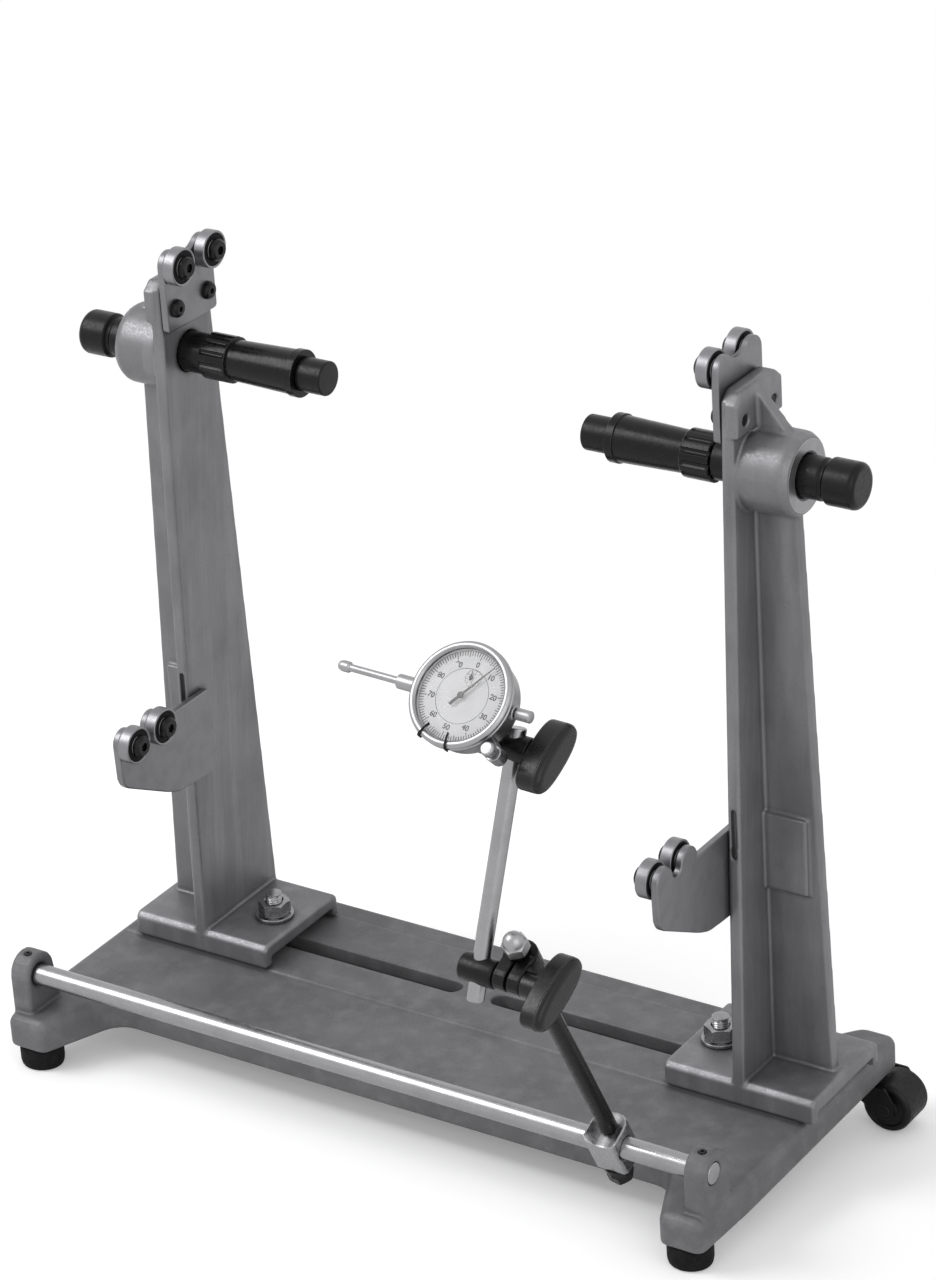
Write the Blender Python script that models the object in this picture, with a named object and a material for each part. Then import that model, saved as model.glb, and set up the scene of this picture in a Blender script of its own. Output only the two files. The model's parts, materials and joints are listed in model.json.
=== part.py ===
"""Wheel truing stand: a cast base with two sliding uprights that carry a wheel by its axle,
and a rod holder on a front rail that carries a dial indicator.

Units are metres. The pieces are modelled in the frame of the base (+X along the front rail to
the right, +Y to the rear, +Z up) and hang on one empty, which leans the stand on its floor.
"""
import math

import bmesh
import bpy
from mathutils import Matrix, Vector

# Fits
GAP = 0.0003
BEARING_GAP = 0.0003

# Sides of the round shapes: large, common and small ones
FINE_SIDES = 32
ROUND_SIDES = 20
SMALL_SIDES = 12

# Base casting
BASE_HALF_LENGTH = 0.2388
BASE_FRONT = -0.0773
BASE_REAR = 0.080
BASE_BOTTOM = 0.012
BASE_TOP = 0.0322
BASE_EDGE_DROP = 0.0050
BASE_EDGE_INSET = 0.0045
FLOOR_THICKNESS = 0.0080
WALL_THICKNESS = 0.0100
LOBE_REACH = 0.0170
LOBE_WIDTH = 0.0360
ARM_TIP = -0.1252
ARM_TIP_WIDTH = 0.0261
ARM_FLARE = 0.0208
ARM_OUTER_INSET = 0.0019
OUTLINE_ROUND = 0.0060
NOTCH_ROUND = 0.0160
TRACK_FRONT = -0.0107
TRACK_REAR = 0.0612
TRACK_HEIGHT = 0.0012

# Slots and the bays below them
SLOT_Y = 0.0225
SLOT_WIDTH = 0.0122
SLOT_OUTER = BASE_HALF_LENGTH - 0.0163
SLOT_INNER_LEFT = -0.0115
SLOT_INNER_RIGHT = 0.0100
SLOT_BAY_WIDTH = 0.0210
RIB_THICKNESS = 0.0045

# Rail and its ears
RAIL_Y = -0.1071
RAIL_Z = 0.0549
RAIL_RADIUS = 0.00635
EAR_THICKNESS = 0.0138
EAR_INNER = BASE_HALF_LENGTH - EAR_THICKNESS - 0.0026
EAR_RADIUS = 0.0127
EAR_CENTRE_Y = -0.1052
SET_SCREW_RADIUS = 0.0022

# Feet and casters
FOOT_X = BASE_HALF_LENGTH - 0.0165
FOOT_Y = -0.1124
FOOT_RADIUS = 0.0130
FOOT_HEIGHT = 0.0148
PIN_X = BASE_HALF_LENGTH - 0.0150
PIN_Y = 0.0865
PIN_RADIUS = 0.0030
PIN_SEAT_DEPTH = 0.0120
PLATE_RADIUS = 0.0095
PLATE_THICKNESS = 0.0015
PIN_HEAD_RADIUS = 0.0040
PIN_HEAD_THICKNESS = 0.0013
CASTER_TRAIL = 0.0178
WHEEL_RADIUS = 0.0155
WHEEL_WIDTH = 0.0240
WHEEL_SHOULDER = 0.0015
AXLE_DROP = 0.0166
AXLE_RADIUS = 0.0025
CHEEK_THICKNESS = 0.0020
CHEEK_CLEARANCE = 0.0006
CROWN_THICKNESS = 0.0019
CROWN_REACH = 0.0052
CROWN_BACK = 0.0085

# Uprights
PAIR_SHIFT = 0.0106
HALF_SPAN = 0.1816
UPRIGHT_Y = 0.0251
WEB_THICKNESS = 0.0076
WEB_FOOT_HALF = 0.0376
WEB_TOP_HALF = 0.0227
UPRIGHT_TOP = 0.4600
RIB_PLATE = 0.0074
RIB_FOOT_DEPTH = 0.0384
RIB_TOP_DEPTH = 0.0249
HEAD_THICKNESS = 0.0108
HEAD_HALF = 0.0243
HEAD_BOTTOM = 0.4350
BOSS_RADIUS = 0.0235
BOSS_REACH = 0.0378
SADDLE_FRONT = -0.0127
SADDLE_REAR = 0.0627
SADDLE_INBOARD = 0.0445
SADDLE_OUTBOARD = 0.0522
SADDLE_TOP = 0.0485
SADDLE_FLANGE = 0.0055
SADDLE_RECESS = 0.0060
PAD_BOTTOM = 0.1585
PAD_TOP = 0.2055
PAD_INNER = 0.0084
PAD_OUTER = 0.0345
PAD_PROUD = 0.0030
RECESS_BOTTOM = 0.1875
RECESS_TOP = 0.2175
RECESS_WIDTH = 0.0032
RECESS_DEPTH = 0.0040

# Foot studs and nuts
STUD_OFFSET = 0.0268
STUD_RADIUS = 0.0050
STUD_HEAD_HALF = 0.0085
STUD_HEAD_THICKNESS = 0.0070
STUD_ABOVE_NUT = 0.0055
WASHER_RADIUS = 0.0115
WASHER_THICKNESS = 0.0020
NUT_FLATS = 0.0170
NUT_HEIGHT = 0.0084

# Spindles
SPINDLE_Z = 0.4105
SPINDLE_RADIUS = 0.0118
SPINDLE_CORE = 0.0076
SPINDLE_TIP_RADIUS = 0.0100
SPINDLE_TIP_REACH = 0.0962
SLEEVE_INNER_END = 0.0792
SLEEVE_OUTER_END = 0.0152
FLUTE_LENGTH = 0.0175
FLUTE_RADIUS = 0.0136
FLUTE_DEPTH = 0.0012
SLEEVE_SMALL_RADIUS = 0.0118
SLEEVE_LARGE_RADIUS = 0.0130
SLEEVE_RING_RADIUS = 0.0138
SLEEVE_RING_LENGTH = 0.0050
KNOB_START = 0.0525
KNOB_END = 0.0712
KNOB_RADIUS = 0.0130
KNOB_ROUND = 0.0036
KNOB_NECK_RADIUS = 0.0106
SPINDLE_SHOULDER = 0.0490

# Roller seats and their rollers
BRACKET_THICKNESS = 0.0045
ROLLER_RADIUS = 0.0110
ROLLER_WIDTH = 0.0070
ROLLER_OFFSET = 0.0060
ROLLER_BORE = 0.0040
SPACER_RADIUS = 0.0058
EAR_ROUND = 0.0085
UPPER_ROLLER_HALF = 0.01485
UPPER_ROLLER_Z = 0.4690
UPPER_BRACKET_BOTTOM = 0.4300
UPPER_DIP = 0.0030
BRACKET_SCREW_HALF = 0.0150
BRACKET_SCREW_Z = 0.4430
BRACKET_SCREW_RADIUS = 0.0030
BRACKET_HEAD_RADIUS = 0.0053
BRACKET_HEAD_HEIGHT = 0.0033
LOWER_ROLLER_FRONT = -0.0723
LOWER_ROLLER_REAR = -0.0465
LOWER_ROLLER_Z = 0.2053
LOWER_DIP = -0.0026
LOWER_SEAT_EDGE = ((-0.0800, 0.1840), (-0.0785, 0.1800), (-0.0760, 0.1772), (-0.0385, 0.1565),
                   (-0.0285, 0.1525), (-0.0100, 0.1510), (0.0040, 0.1505), (0.0090, 0.1550),
                   (0.0090, 0.2005), (0.0060, 0.2037))
ROLLER_HEAD_RADIUS = 0.0065
ROLLER_HEAD_HEIGHT = 0.0038

# Rail clamp and arm
CLAMP_X = BASE_HALF_LENGTH - 0.0683
ARM_LEAN = 27.0
ARM_SETBACK = 0.0046
ARM_RADIUS = 0.0050
ARM_START = 0.0095
CLAMP_HALF_WIDTH = 0.0105
CLAMP_FRONT = 0.0130
CLAMP_BOTTOM = 0.0168
CLAMP_TOP = 0.0125
COLLAR_SCOOP = 0.0130
BOLT_FLATS = 0.0130
BOLT_HEAD_HEIGHT = 0.0066
BOLT_RADIUS = 0.0040
BOLT_FORWARD = 0.0025
LOCK_NUT_FLATS = 0.0138
LOCK_NUT_HEIGHT = 0.0050
ACORN_RADIUS = 0.00625
ACORN_FLATS = 0.0130
ACORN_HEX_HEIGHT = 0.0060

# Swivel clamps, post and oval knobs
SWIVEL_UP_ARM = 0.1690
ARM_ABOVE_SWIVEL = 0.0170
ARM_END = SWIVEL_UP_ARM + ARM_ABOVE_SWIVEL
SWIVEL_OFFSET = 0.0126
SWIVEL_YAW = -2.3
LUG_HALF_WIDTH = 0.0085
LUG_ROUND = 0.0070
SLIT_HALF = 0.0008
LOOP_RADIUS = 0.0098
SCREW_RADIUS = 0.0030
BARREL_RADIUS = 0.0078
BARREL_END = 0.0300
POST_OFFSET = 0.0200
POST_LEAN = 46.6
POST_RADIUS = 0.00485
POST_BELOW = 0.0168
POST_ABOVE = 0.0110
POST_GRIP_SPAN = 0.1190
LOWER_KNOB_START = 0.0180
LOWER_KNOB_END = 0.0315
KNOB_BOSS_RADIUS = 0.0070
OVAL_LENGTH = 0.0460
OVAL_WIDTH = 0.0195
UPPER_OVAL_LENGTH = 0.0432
UPPER_BARREL_RADIUS = 0.0076
UPPER_BARREL_END = 0.0105
UPPER_KNOB_START = 0.0120
UPPER_KNOB_END = 0.0270

# Dial indicator
LUG_ALONG = 0.0235
LUG_THICKNESS = 0.0060
LUG_DEPTH = 0.0330
LUG_BELOW = 0.0129
LUG_RADIUS = 0.0060
LUG_HOLE = 0.0031
DIAL_PITCH = 44.2
CASE_RADIUS = 0.0265
CASE_DEPTH = 0.0220
FACE_DEPTH = 0.0042
BEZEL_RADIUS = 0.0291
BEZEL_DEPTH = 0.0056
BEZEL_LIP = 0.0015
BEZEL_OPENING = 0.0248
BEZEL_WALL = 0.0030
STEM_RADIUS = 0.0040
STEM_REACH = 0.0420
STEM_DEPTH = 0.0100
PLUNGER_RADIUS = 0.0020
PLUNGER_TIP = 0.0800
TIP_RADIUS = 0.0030
TIP_LENGTH = 0.0080
SIDE_TUBE_REACH = 0.0300
CAP_START = 0.0308
CAP_END = 0.0395
CAP_RADIUS = 0.00325
LOCK_ANGLE = -41.5
LOCK_ORBIT = 0.0350
LOCK_RADIUS = 0.0039
NEEDLE_LENGTH = 0.0225
NEEDLE_TAIL = 0.0075
NEEDLE_ANGLE = 54.2
NEEDLE_THICKNESS = 0.0004
NEEDLE_LIFT = 0.0018
COUNTER_LIFT = 0.0006
ARBOR_RADIUS = 0.0008
SUB_DIAL_X = 0.0012
SUB_DIAL_Y = 0.0106
COUNTER_LENGTH = 0.0034

SIDES = {"left": -1.0, "right": 1.0}

FINISHES = {
    "cast_aluminium": ((0.42, 0.42, 0.43), 0.55, 0.48),
    "ground_steel": ((0.62, 0.62, 0.63), 1.0, 0.18),
    "bearing_steel": ((0.55, 0.55, 0.56), 1.0, 0.28),
    "plated_steel": ((0.45, 0.45, 0.46), 1.0, 0.34),
    "black_oxide": ((0.035, 0.035, 0.037), 0.6, 0.38),
    "black_plastic": ((0.022, 0.022, 0.023), 0.0, 0.42),
    "grey_plastic": ((0.10, 0.10, 0.10), 0.0, 0.5),
    "rubber": ((0.02, 0.02, 0.02), 0.0, 0.75),
    "satin_chrome": ((0.58, 0.58, 0.59), 1.0, 0.25),
}


def temporary(bm):
    """Wrap a bmesh as a helper object with its faces pointing out."""
    bmesh.ops.recalc_face_normals(bm, faces=bm.faces)
    mesh = bpy.data.meshes.new("shape")
    bm.to_mesh(mesh)
    bm.free()
    shape = bpy.data.objects.new("shape", mesh)
    bpy.context.collection.objects.link(shape)
    return shape


def arc(centre, radius, start, end, steps):
    """Points on an arc, angles in degrees."""
    points = []
    for step in range(steps + 1):
        angle = math.radians(start + (end - start) * step / steps)
        points.append((centre[0] + radius * math.cos(angle), centre[1] + radius * math.sin(angle)))
    return points


def rounded(corners, steps=4):
    """Outline with each (x, y, radius) corner turned into a fillet."""
    points = []
    count = len(corners)
    for index, (x, y, radius) in enumerate(corners):
        here = Vector((x, y))
        before = (Vector(corners[index - 1][:2]) - here).normalized()
        after = (Vector(corners[(index + 1) % count][:2]) - here).normalized()
        half = before.angle(after) / 2
        if radius <= 0 or half > math.pi / 2 - 0.02:
            points.append((x, y))
            continue
        reach = radius / math.tan(half)
        centre = here + (before + after).normalized() * radius / math.sin(half)
        first = here + before * reach - centre
        last = here + after * reach - centre
        turn = first.angle_signed(last)
        for step in range(steps + 1):
            angle = -turn * step / steps
            spoke = Vector((first.x * math.cos(angle) - first.y * math.sin(angle),
                            first.x * math.sin(angle) + first.y * math.cos(angle)))
            points.append(tuple(centre + spoke))
    return points


def inset(points, distance):
    """Move an outline, which runs anticlockwise, inwards by a distance."""
    moved = []
    count = len(points)
    for index in range(count):
        here = Vector(points[index])
        before = (here - Vector(points[index - 1])).normalized()
        after = (Vector(points[(index + 1) % count]) - here).normalized()
        normal = Vector((-before.y - after.y, before.x + after.x))
        normal = normal.normalized()
        lean = max(0.5, Vector((-before.y, before.x)).dot(normal))
        moved.append(tuple(here + normal * distance / lean))
    return moved


def lofted(rings):
    """Closed solid through rings of equally many 3-D points, capped at both ends."""
    bm = bmesh.new()
    rows = [[bm.verts.new(point) for point in ring] for ring in rings]
    count = len(rows[0])
    for low, high in zip(rows, rows[1:]):
        for index in range(count):
            following = (index + 1) % count
            bm.faces.new((low[index], low[following], high[following], high[index]))
    bm.faces.new(rows[0])
    bm.faces.new(rows[-1])
    return temporary(bm)


def prism(outline, low, high, across, chamfer=0.0):
    """Outline pushed along an axis, with a chamfer round both ends if one is given."""
    order = {"X": lambda p, q, w: (w, p, q), "Y": lambda p, q, w: (p, w, q),
             "Z": lambda p, q, w: (p, q, w)}[across]
    area = sum(a[0] * b[1] - b[0] * a[1] for a, b in zip(outline, outline[1:] + outline[:1]))
    points = outline if area > 0 else outline[::-1]
    levels = [(low, 0.0), (high, 0.0)]
    if chamfer > 0:
        levels = [(low, chamfer), (low + chamfer, 0.0), (high - chamfer, 0.0), (high, chamfer)]
    return lofted([[order(p, q, w) for p, q in (inset(points, step) if step else points)]
                   for w, step in levels])


def box(low, high):
    """Plain block between two corners."""
    outline = [(low[0], low[1]), (high[0], low[1]), (high[0], high[1]), (low[0], high[1])]
    return prism(outline, low[2], high[2], "Z")


def turned(profile, frame=None, sides=ROUND_SIDES, flutes=0, flute_depth=0.0, fluted_rows=()):
    """Profile of (radius, height) points turned about Z, then placed by a matrix.

    A profile that starts and ends at radius 0 makes a rod, any other a ring.
    """
    bm = bmesh.new()
    rows = []
    for row, (radius, height) in enumerate(profile):
        if radius < 1e-6:
            rows.append([bm.verts.new((0, 0, height))])
            continue
        ring = []
        for side in range(sides):
            angle = 2 * math.pi * side / sides
            cut = flute_depth if row in fluted_rows and side % (sides // flutes) == 0 else 0.0
            ring.append(bm.verts.new(((radius - cut) * math.cos(angle),
                                      (radius - cut) * math.sin(angle), height)))
        rows.append(ring)
    pairs = list(zip(rows, rows[1:]))
    if len(rows[0]) > 1:
        pairs.append((rows[-1], rows[0]))
    for low, high in pairs:
        for side in range(sides):
            following = (side + 1) % sides
            corners = [low[side % len(low)], low[following % len(low)],
                       high[following % len(high)], high[side % len(high)]]
            unique = list(dict.fromkeys(corners))
            if len(unique) > 2:
                bm.faces.new(unique)
    if frame is not None:
        bm.transform(frame)
    return temporary(bm)


def rod(radius, start, end, frame, sides=ROUND_SIDES, chamfer=0.0):
    """Straight round bar along a frame's Z."""
    profile = [(0, start), (radius - chamfer, start), (radius, start + chamfer),
               (radius, end - chamfer), (radius - chamfer, end), (0, end)]
    if chamfer <= 0:
        profile = [(0, start), (radius, start), (radius, end), (0, end)]
    return turned(profile, frame, sides)


def along(origin, direction):
    """Frame whose Z points along a direction."""
    turn = Vector((0, 0, 1)).rotation_difference(Vector(direction)).to_matrix().to_4x4()
    return Matrix.Translation(Vector(origin)) @ turn


def axes(origin, x_axis, y_axis, z_axis):
    """Frame from an origin and three unit axes."""
    matrix = Matrix((x_axis, y_axis, z_axis)).transposed().to_4x4()
    matrix.translation = Vector(origin)
    return matrix


def placed(shape, frame):
    """Move a helper's mesh by a frame."""
    shape.data.transform(frame)
    return shape


def combine(base, add=(), cut=()):
    """Join helpers to a base and cut others from it."""
    for operation, tools in (("UNION", add), ("DIFFERENCE", cut)):
        for tool in tools:
            modifier = base.modifiers.new(operation.lower(), "BOOLEAN")
            modifier.operation = operation
            modifier.object = tool
            modifier.solver = "EXACT"
    bpy.context.view_layer.update()
    ready = base.evaluated_get(bpy.context.evaluated_depsgraph_get())
    shaped = bpy.data.meshes.new_from_object(ready)
    base.modifiers.clear()
    base.data = shaped
    for tool in (*add, *cut):
        bpy.data.objects.remove(tool)
    bm = bmesh.new()
    bm.from_mesh(shaped)
    bmesh.ops.remove_doubles(bm, verts=bm.verts, dist=2e-6)
    bmesh.ops.dissolve_degenerate(bm, edges=bm.edges, dist=1e-6)
    bm.to_mesh(shaped)
    bm.free()
    return base


def material_for(node, finish):
    """Principled material of one sub-part."""
    colour, metallic, roughness = FINISHES[finish]
    material = bpy.data.materials.new(node + "_" + finish)
    material.use_nodes = True
    shader = material.node_tree.nodes["Principled BSDF"]
    shader.inputs["Base Color"].default_value = (*colour, 1.0)
    shader.inputs["Metallic"].default_value = metallic
    shader.inputs["Roughness"].default_value = roughness
    return material


def finish_part(shape, node, finish, stand, frame=None):
    """Name a solid, set its origin on its joint's axis and hang it on the stand."""
    origin = frame if frame is not None else Matrix.Identity(4)
    shape.data.transform(origin.inverted())
    shape.name = node
    shape.data.name = node
    shape.data.materials.clear()
    shape.data.materials.append(material_for(node, finish))
    shape.data.shade_smooth()
    shape.data.set_sharp_from_angle(angle=math.radians(32))
    shape.parent = stand
    shape.matrix_parent_inverse = Matrix.Identity(4)
    shape.matrix_basis = origin
    return shape


def outward(side, distance):
    """X of a plane at a distance outward of an upright's inner face."""
    return PAIR_SHIFT + side * (HALF_SPAN + distance)


def span(first, second):
    """Two positions in rising order."""
    return min(first, second), max(first, second)


def turned_across(side, profile, y, z, sides=ROUND_SIDES, **flutes):
    """Turned piece about an X line; heights are distances outward of the inner face."""
    frame = axes((outward(side, 0.0), y, z), (0, side, 0), (0, 0, 1), (side, 0, 0))
    return turned(profile, frame, sides, **flutes)


def across_bore(side, radius, start, end, y, z, sides=SMALL_SIDES):
    """Round cutter about an X line between two distances outward of the inner face."""
    return turned_across(side, [(0, start), (radius, start), (radius, end), (0, end)], y, z, sides)


def base_outline():
    """Plan of the base: plate, two forward arms and two rear corner lobes."""
    tip_inner = BASE_HALF_LENGTH - ARM_OUTER_INSET - ARM_TIP_WIDTH
    lobe_inner = BASE_HALF_LENGTH - LOBE_WIDTH
    lobe_rear = BASE_REAR + LOBE_REACH
    right = [
        (tip_inner - ARM_FLARE, BASE_FRONT, NOTCH_ROUND),
        (tip_inner, ARM_TIP, OUTLINE_ROUND),
        (tip_inner + ARM_TIP_WIDTH, ARM_TIP, OUTLINE_ROUND),
        (BASE_HALF_LENGTH, BASE_FRONT, 0.0),
        (BASE_HALF_LENGTH, lobe_rear, OUTLINE_ROUND),
        (lobe_inner + 0.013, lobe_rear, 0.010),
        (lobe_inner - 0.001, BASE_REAR, 0.008),
    ]
    left = [(-x, y, radius) for x, y, radius in reversed(right)]
    return rounded(right + left, 4)


def ear_outline():
    """Side view of the ear that holds the rail, rounded over the rail."""
    top = arc((EAR_CENTRE_Y, RAIL_Z), EAR_RADIUS, 180, 0, 8)
    return [(EAR_CENTRE_Y + EAR_RADIUS + 0.004, BASE_TOP - 0.008),
            (EAR_CENTRE_Y - EAR_RADIUS, BASE_TOP - 0.008), *top]


def slot_cut(inner, outer, low, high, width):
    """Cutter with round ends along X."""
    radius = width / 2
    outline = (arc((outer - radius, SLOT_Y), radius, -90, 90, 6)
               + arc((inner + radius, SLOT_Y), radius, 90, 270, 6))
    return prism(outline, low, high, "Z")


def slot_ends():
    """Inner and outer ends of both slots, left to right."""
    return ((-SLOT_OUTER, SLOT_INNER_LEFT), (SLOT_INNER_RIGHT, SLOT_OUTER))


def make_base(stand):
    """Cast base, hollow below, with rail ears, studs' slots and the raised track."""
    outline = base_outline()
    levels = [(BASE_BOTTOM, 0.0012), (BASE_BOTTOM + 0.0012, 0.0),
              (BASE_TOP - BASE_EDGE_DROP, 0.0),
              (BASE_TOP - BASE_EDGE_DROP * 0.35, BASE_EDGE_INSET * 0.35),
              (BASE_TOP, BASE_EDGE_INSET)]
    base = lofted([[(x, y, z) for x, y in (inset(outline, step) if step else outline)]
                   for z, step in levels])
    add = []
    cut = []
    track_half = BASE_HALF_LENGTH - BASE_EDGE_INSET - 0.001
    add.append(box((-track_half, TRACK_FRONT, BASE_TOP - 0.003),
                   (track_half, TRACK_REAR, BASE_TOP + TRACK_HEIGHT)))
    ceiling = BASE_TOP - FLOOR_THICKNESS
    bay_half = BASE_HALF_LENGTH - WALL_THICKNESS
    slot_front = SLOT_Y - SLOT_BAY_WIDTH / 2
    slot_rear = SLOT_Y + SLOT_BAY_WIDTH / 2
    bays = ((BASE_FRONT + WALL_THICKNESS, slot_front - RIB_THICKNESS),
            (slot_front, slot_rear),
            (slot_rear + RIB_THICKNESS, BASE_REAR - WALL_THICKNESS))
    for front, rear in bays:
        cut.append(box((-bay_half, front, BASE_BOTTOM - 0.003), (bay_half, rear, ceiling)))
    for inner, outer in slot_ends():
        cut.append(slot_cut(inner, outer, ceiling - 0.002, BASE_TOP + 0.004, SLOT_WIDTH))
    for side in SIDES.values():
        low, high = span(side * EAR_INNER, side * (EAR_INNER + EAR_THICKNESS))
        add.append(prism(ear_outline(), low, high, "X", 0.0012))
        cut.append(rod(RAIL_RADIUS + GAP, -0.02, 0.02,
                       along((side * (EAR_INNER + EAR_THICKNESS / 2), RAIL_Y, RAIL_Z), (1, 0, 0))))
        cut.append(rod(SET_SCREW_RADIUS, 0.0, 0.02,
                       along((side * (EAR_INNER + EAR_THICKNESS / 2), RAIL_Y, RAIL_Z), (0, 0, 1)), 8))
        cut.append(rod(PIN_RADIUS + GAP, -0.004, PIN_SEAT_DEPTH,
                       along((side * PIN_X, PIN_Y, BASE_BOTTOM), (0, 0, 1)), SMALL_SIDES))
    combine(base, add, cut)
    finish_part(base, "base_casting", "cast_aluminium", stand)


def foot_drop_slope():
    """Rise per unit of Y of the floor as the base sees it.

    The floor touches the feet at their centres and each wheel at its front shoulder.
    """
    foot_low = BASE_BOTTOM - FOOT_HEIGHT
    wheel_low = BASE_BOTTOM - AXLE_DROP - WHEEL_RADIUS
    wheel_front = PIN_Y - WHEEL_WIDTH / 2 + WHEEL_SHOULDER
    return (foot_low - wheel_low) / (wheel_front - FOOT_Y)


def make_feet(stand):
    """Rubber feet, cut off parallel to the floor that the stand leans on."""
    slope = foot_drop_slope()
    for word, side in SIDES.items():
        rings = []
        for radius, drop, flat in ((FOOT_RADIUS * 0.86, GAP, False), (FOOT_RADIUS, 0.0018, False),
                                   (FOOT_RADIUS, FOOT_HEIGHT - 0.003, False),
                                   (FOOT_RADIUS * 0.93, FOOT_HEIGHT, True)):
            ring = []
            for step in range(ROUND_SIDES):
                angle = 2 * math.pi * step / ROUND_SIDES
                y = FOOT_Y + radius * math.sin(angle)
                lean = -slope * (y - FOOT_Y) if flat else 0.0
                ring.append((side * FOOT_X + radius * math.cos(angle), y,
                             BASE_BOTTOM - drop + lean))
            rings.append(ring)
        finish_part(lofted(rings), "rubber_foot_" + word, "rubber", stand,
                    Matrix.Translation((side * FOOT_X, FOOT_Y, BASE_BOTTOM - FOOT_HEIGHT)))


def make_casters(stand):
    """Corner casters: fixed plate with its pin, swivelling fork, wheel on the fork's axle."""
    plate_top = BASE_BOTTOM - GAP
    plate_low = plate_top - PLATE_THICKNESS
    crown_top = plate_low - 2 * GAP
    crown_low = crown_top - CROWN_THICKNESS
    head_top = crown_low - GAP
    axle_z = BASE_BOTTOM - AXLE_DROP
    cheek_inner = WHEEL_WIDTH / 2 + CHEEK_CLEARANCE
    cheek_outer = cheek_inner + CHEEK_THICKNESS
    for word, side in SIDES.items():
        pin = Vector((side * PIN_X, PIN_Y, 0.0))
        upright = Matrix.Translation(pin)
        pin_top = BASE_BOTTOM + PIN_SEAT_DEPTH - 0.001
        profile = [(0, pin_top), (PIN_RADIUS, pin_top), (PIN_RADIUS, plate_top),
                   (PLATE_RADIUS, plate_top), (PLATE_RADIUS, plate_low),
                   (PIN_RADIUS, plate_low), (PIN_RADIUS, head_top), (PIN_HEAD_RADIUS, head_top),
                   (PIN_HEAD_RADIUS, head_top - PIN_HEAD_THICKNESS), (0, head_top - PIN_HEAD_THICKNESS)]
        finish_part(turned(profile, upright), "caster_plate_" + word, "plated_steel", stand, upright)

        axle_x = side * (PIN_X + CASTER_TRAIL)
        cheek = [(-CROWN_BACK, crown_top), (-CROWN_BACK, crown_low - 0.002),
                 *arc((CASTER_TRAIL, axle_z), 0.0062, 235, 360, 6),
                 (CASTER_TRAIL + 0.0062, crown_top - 0.008), (CASTER_TRAIL + 0.001, crown_top)]
        cheek = [(side * (PIN_X + x), z) for x, z in cheek]
        solids = [prism(cheek, PIN_Y + cheek_inner, PIN_Y + cheek_outer, "Y"),
                  prism(cheek, PIN_Y - cheek_outer, PIN_Y - cheek_inner, "Y")]
        low, high = span(side * (PIN_X - CROWN_BACK + 0.0004), side * (PIN_X + CROWN_REACH))
        crown = box((low, PIN_Y - cheek_outer + 0.0006, crown_low),
                    (high, PIN_Y + cheek_outer - 0.0006, crown_top - 0.0002))
        solids.append(rod(AXLE_RADIUS, -cheek_outer + 0.0006, cheek_outer - 0.0006,
                          along((axle_x, PIN_Y, axle_z), (0, 1, 0)), SMALL_SIDES))
        hole = rod(PIN_RADIUS + GAP, crown_low - 0.001, crown_top + 0.001, upright, SMALL_SIDES)
        combine(crown, solids, [hole])
        finish_part(crown, "caster_fork_" + word, "black_oxide", stand, upright)

        bore = AXLE_RADIUS + GAP
        half = WHEEL_WIDTH / 2
        wheel = [(bore, -half), (WHEEL_RADIUS - WHEEL_SHOULDER, -half),
                 (WHEEL_RADIUS, -half + WHEEL_SHOULDER), (WHEEL_RADIUS, half - WHEEL_SHOULDER),
                 (WHEEL_RADIUS - WHEEL_SHOULDER, half), (bore, half)]
        frame = along((axle_x, PIN_Y, axle_z), (0, 1, 0))
        finish_part(turned(wheel, frame, FINE_SIDES), "caster_wheel_" + word, "grey_plastic", stand, frame)


def make_rail(stand):
    """Ground rail rod through both ears."""
    half = EAR_INNER + EAR_THICKNESS
    frame = along((0, RAIL_Y, RAIL_Z), (1, 0, 0))
    finish_part(rod(RAIL_RADIUS, -half, half, frame, chamfer=0.0006), "rail_rod", "ground_steel",
                stand, frame)


def web_half(z):
    """Half width of an upright's web at a height."""
    share = (z - SADDLE_TOP) / (UPRIGHT_TOP - SADDLE_TOP)
    return WEB_FOOT_HALF + (WEB_TOP_HALF - WEB_FOOT_HALF) * share


def rib_depth(z):
    """Outward depth of an upright's rib at a height."""
    share = (z - SADDLE_TOP) / (SPINDLE_Z - SADDLE_TOP)
    return WEB_THICKNESS + RIB_FOOT_DEPTH + (RIB_TOP_DEPTH - RIB_FOOT_DEPTH) * share


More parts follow.
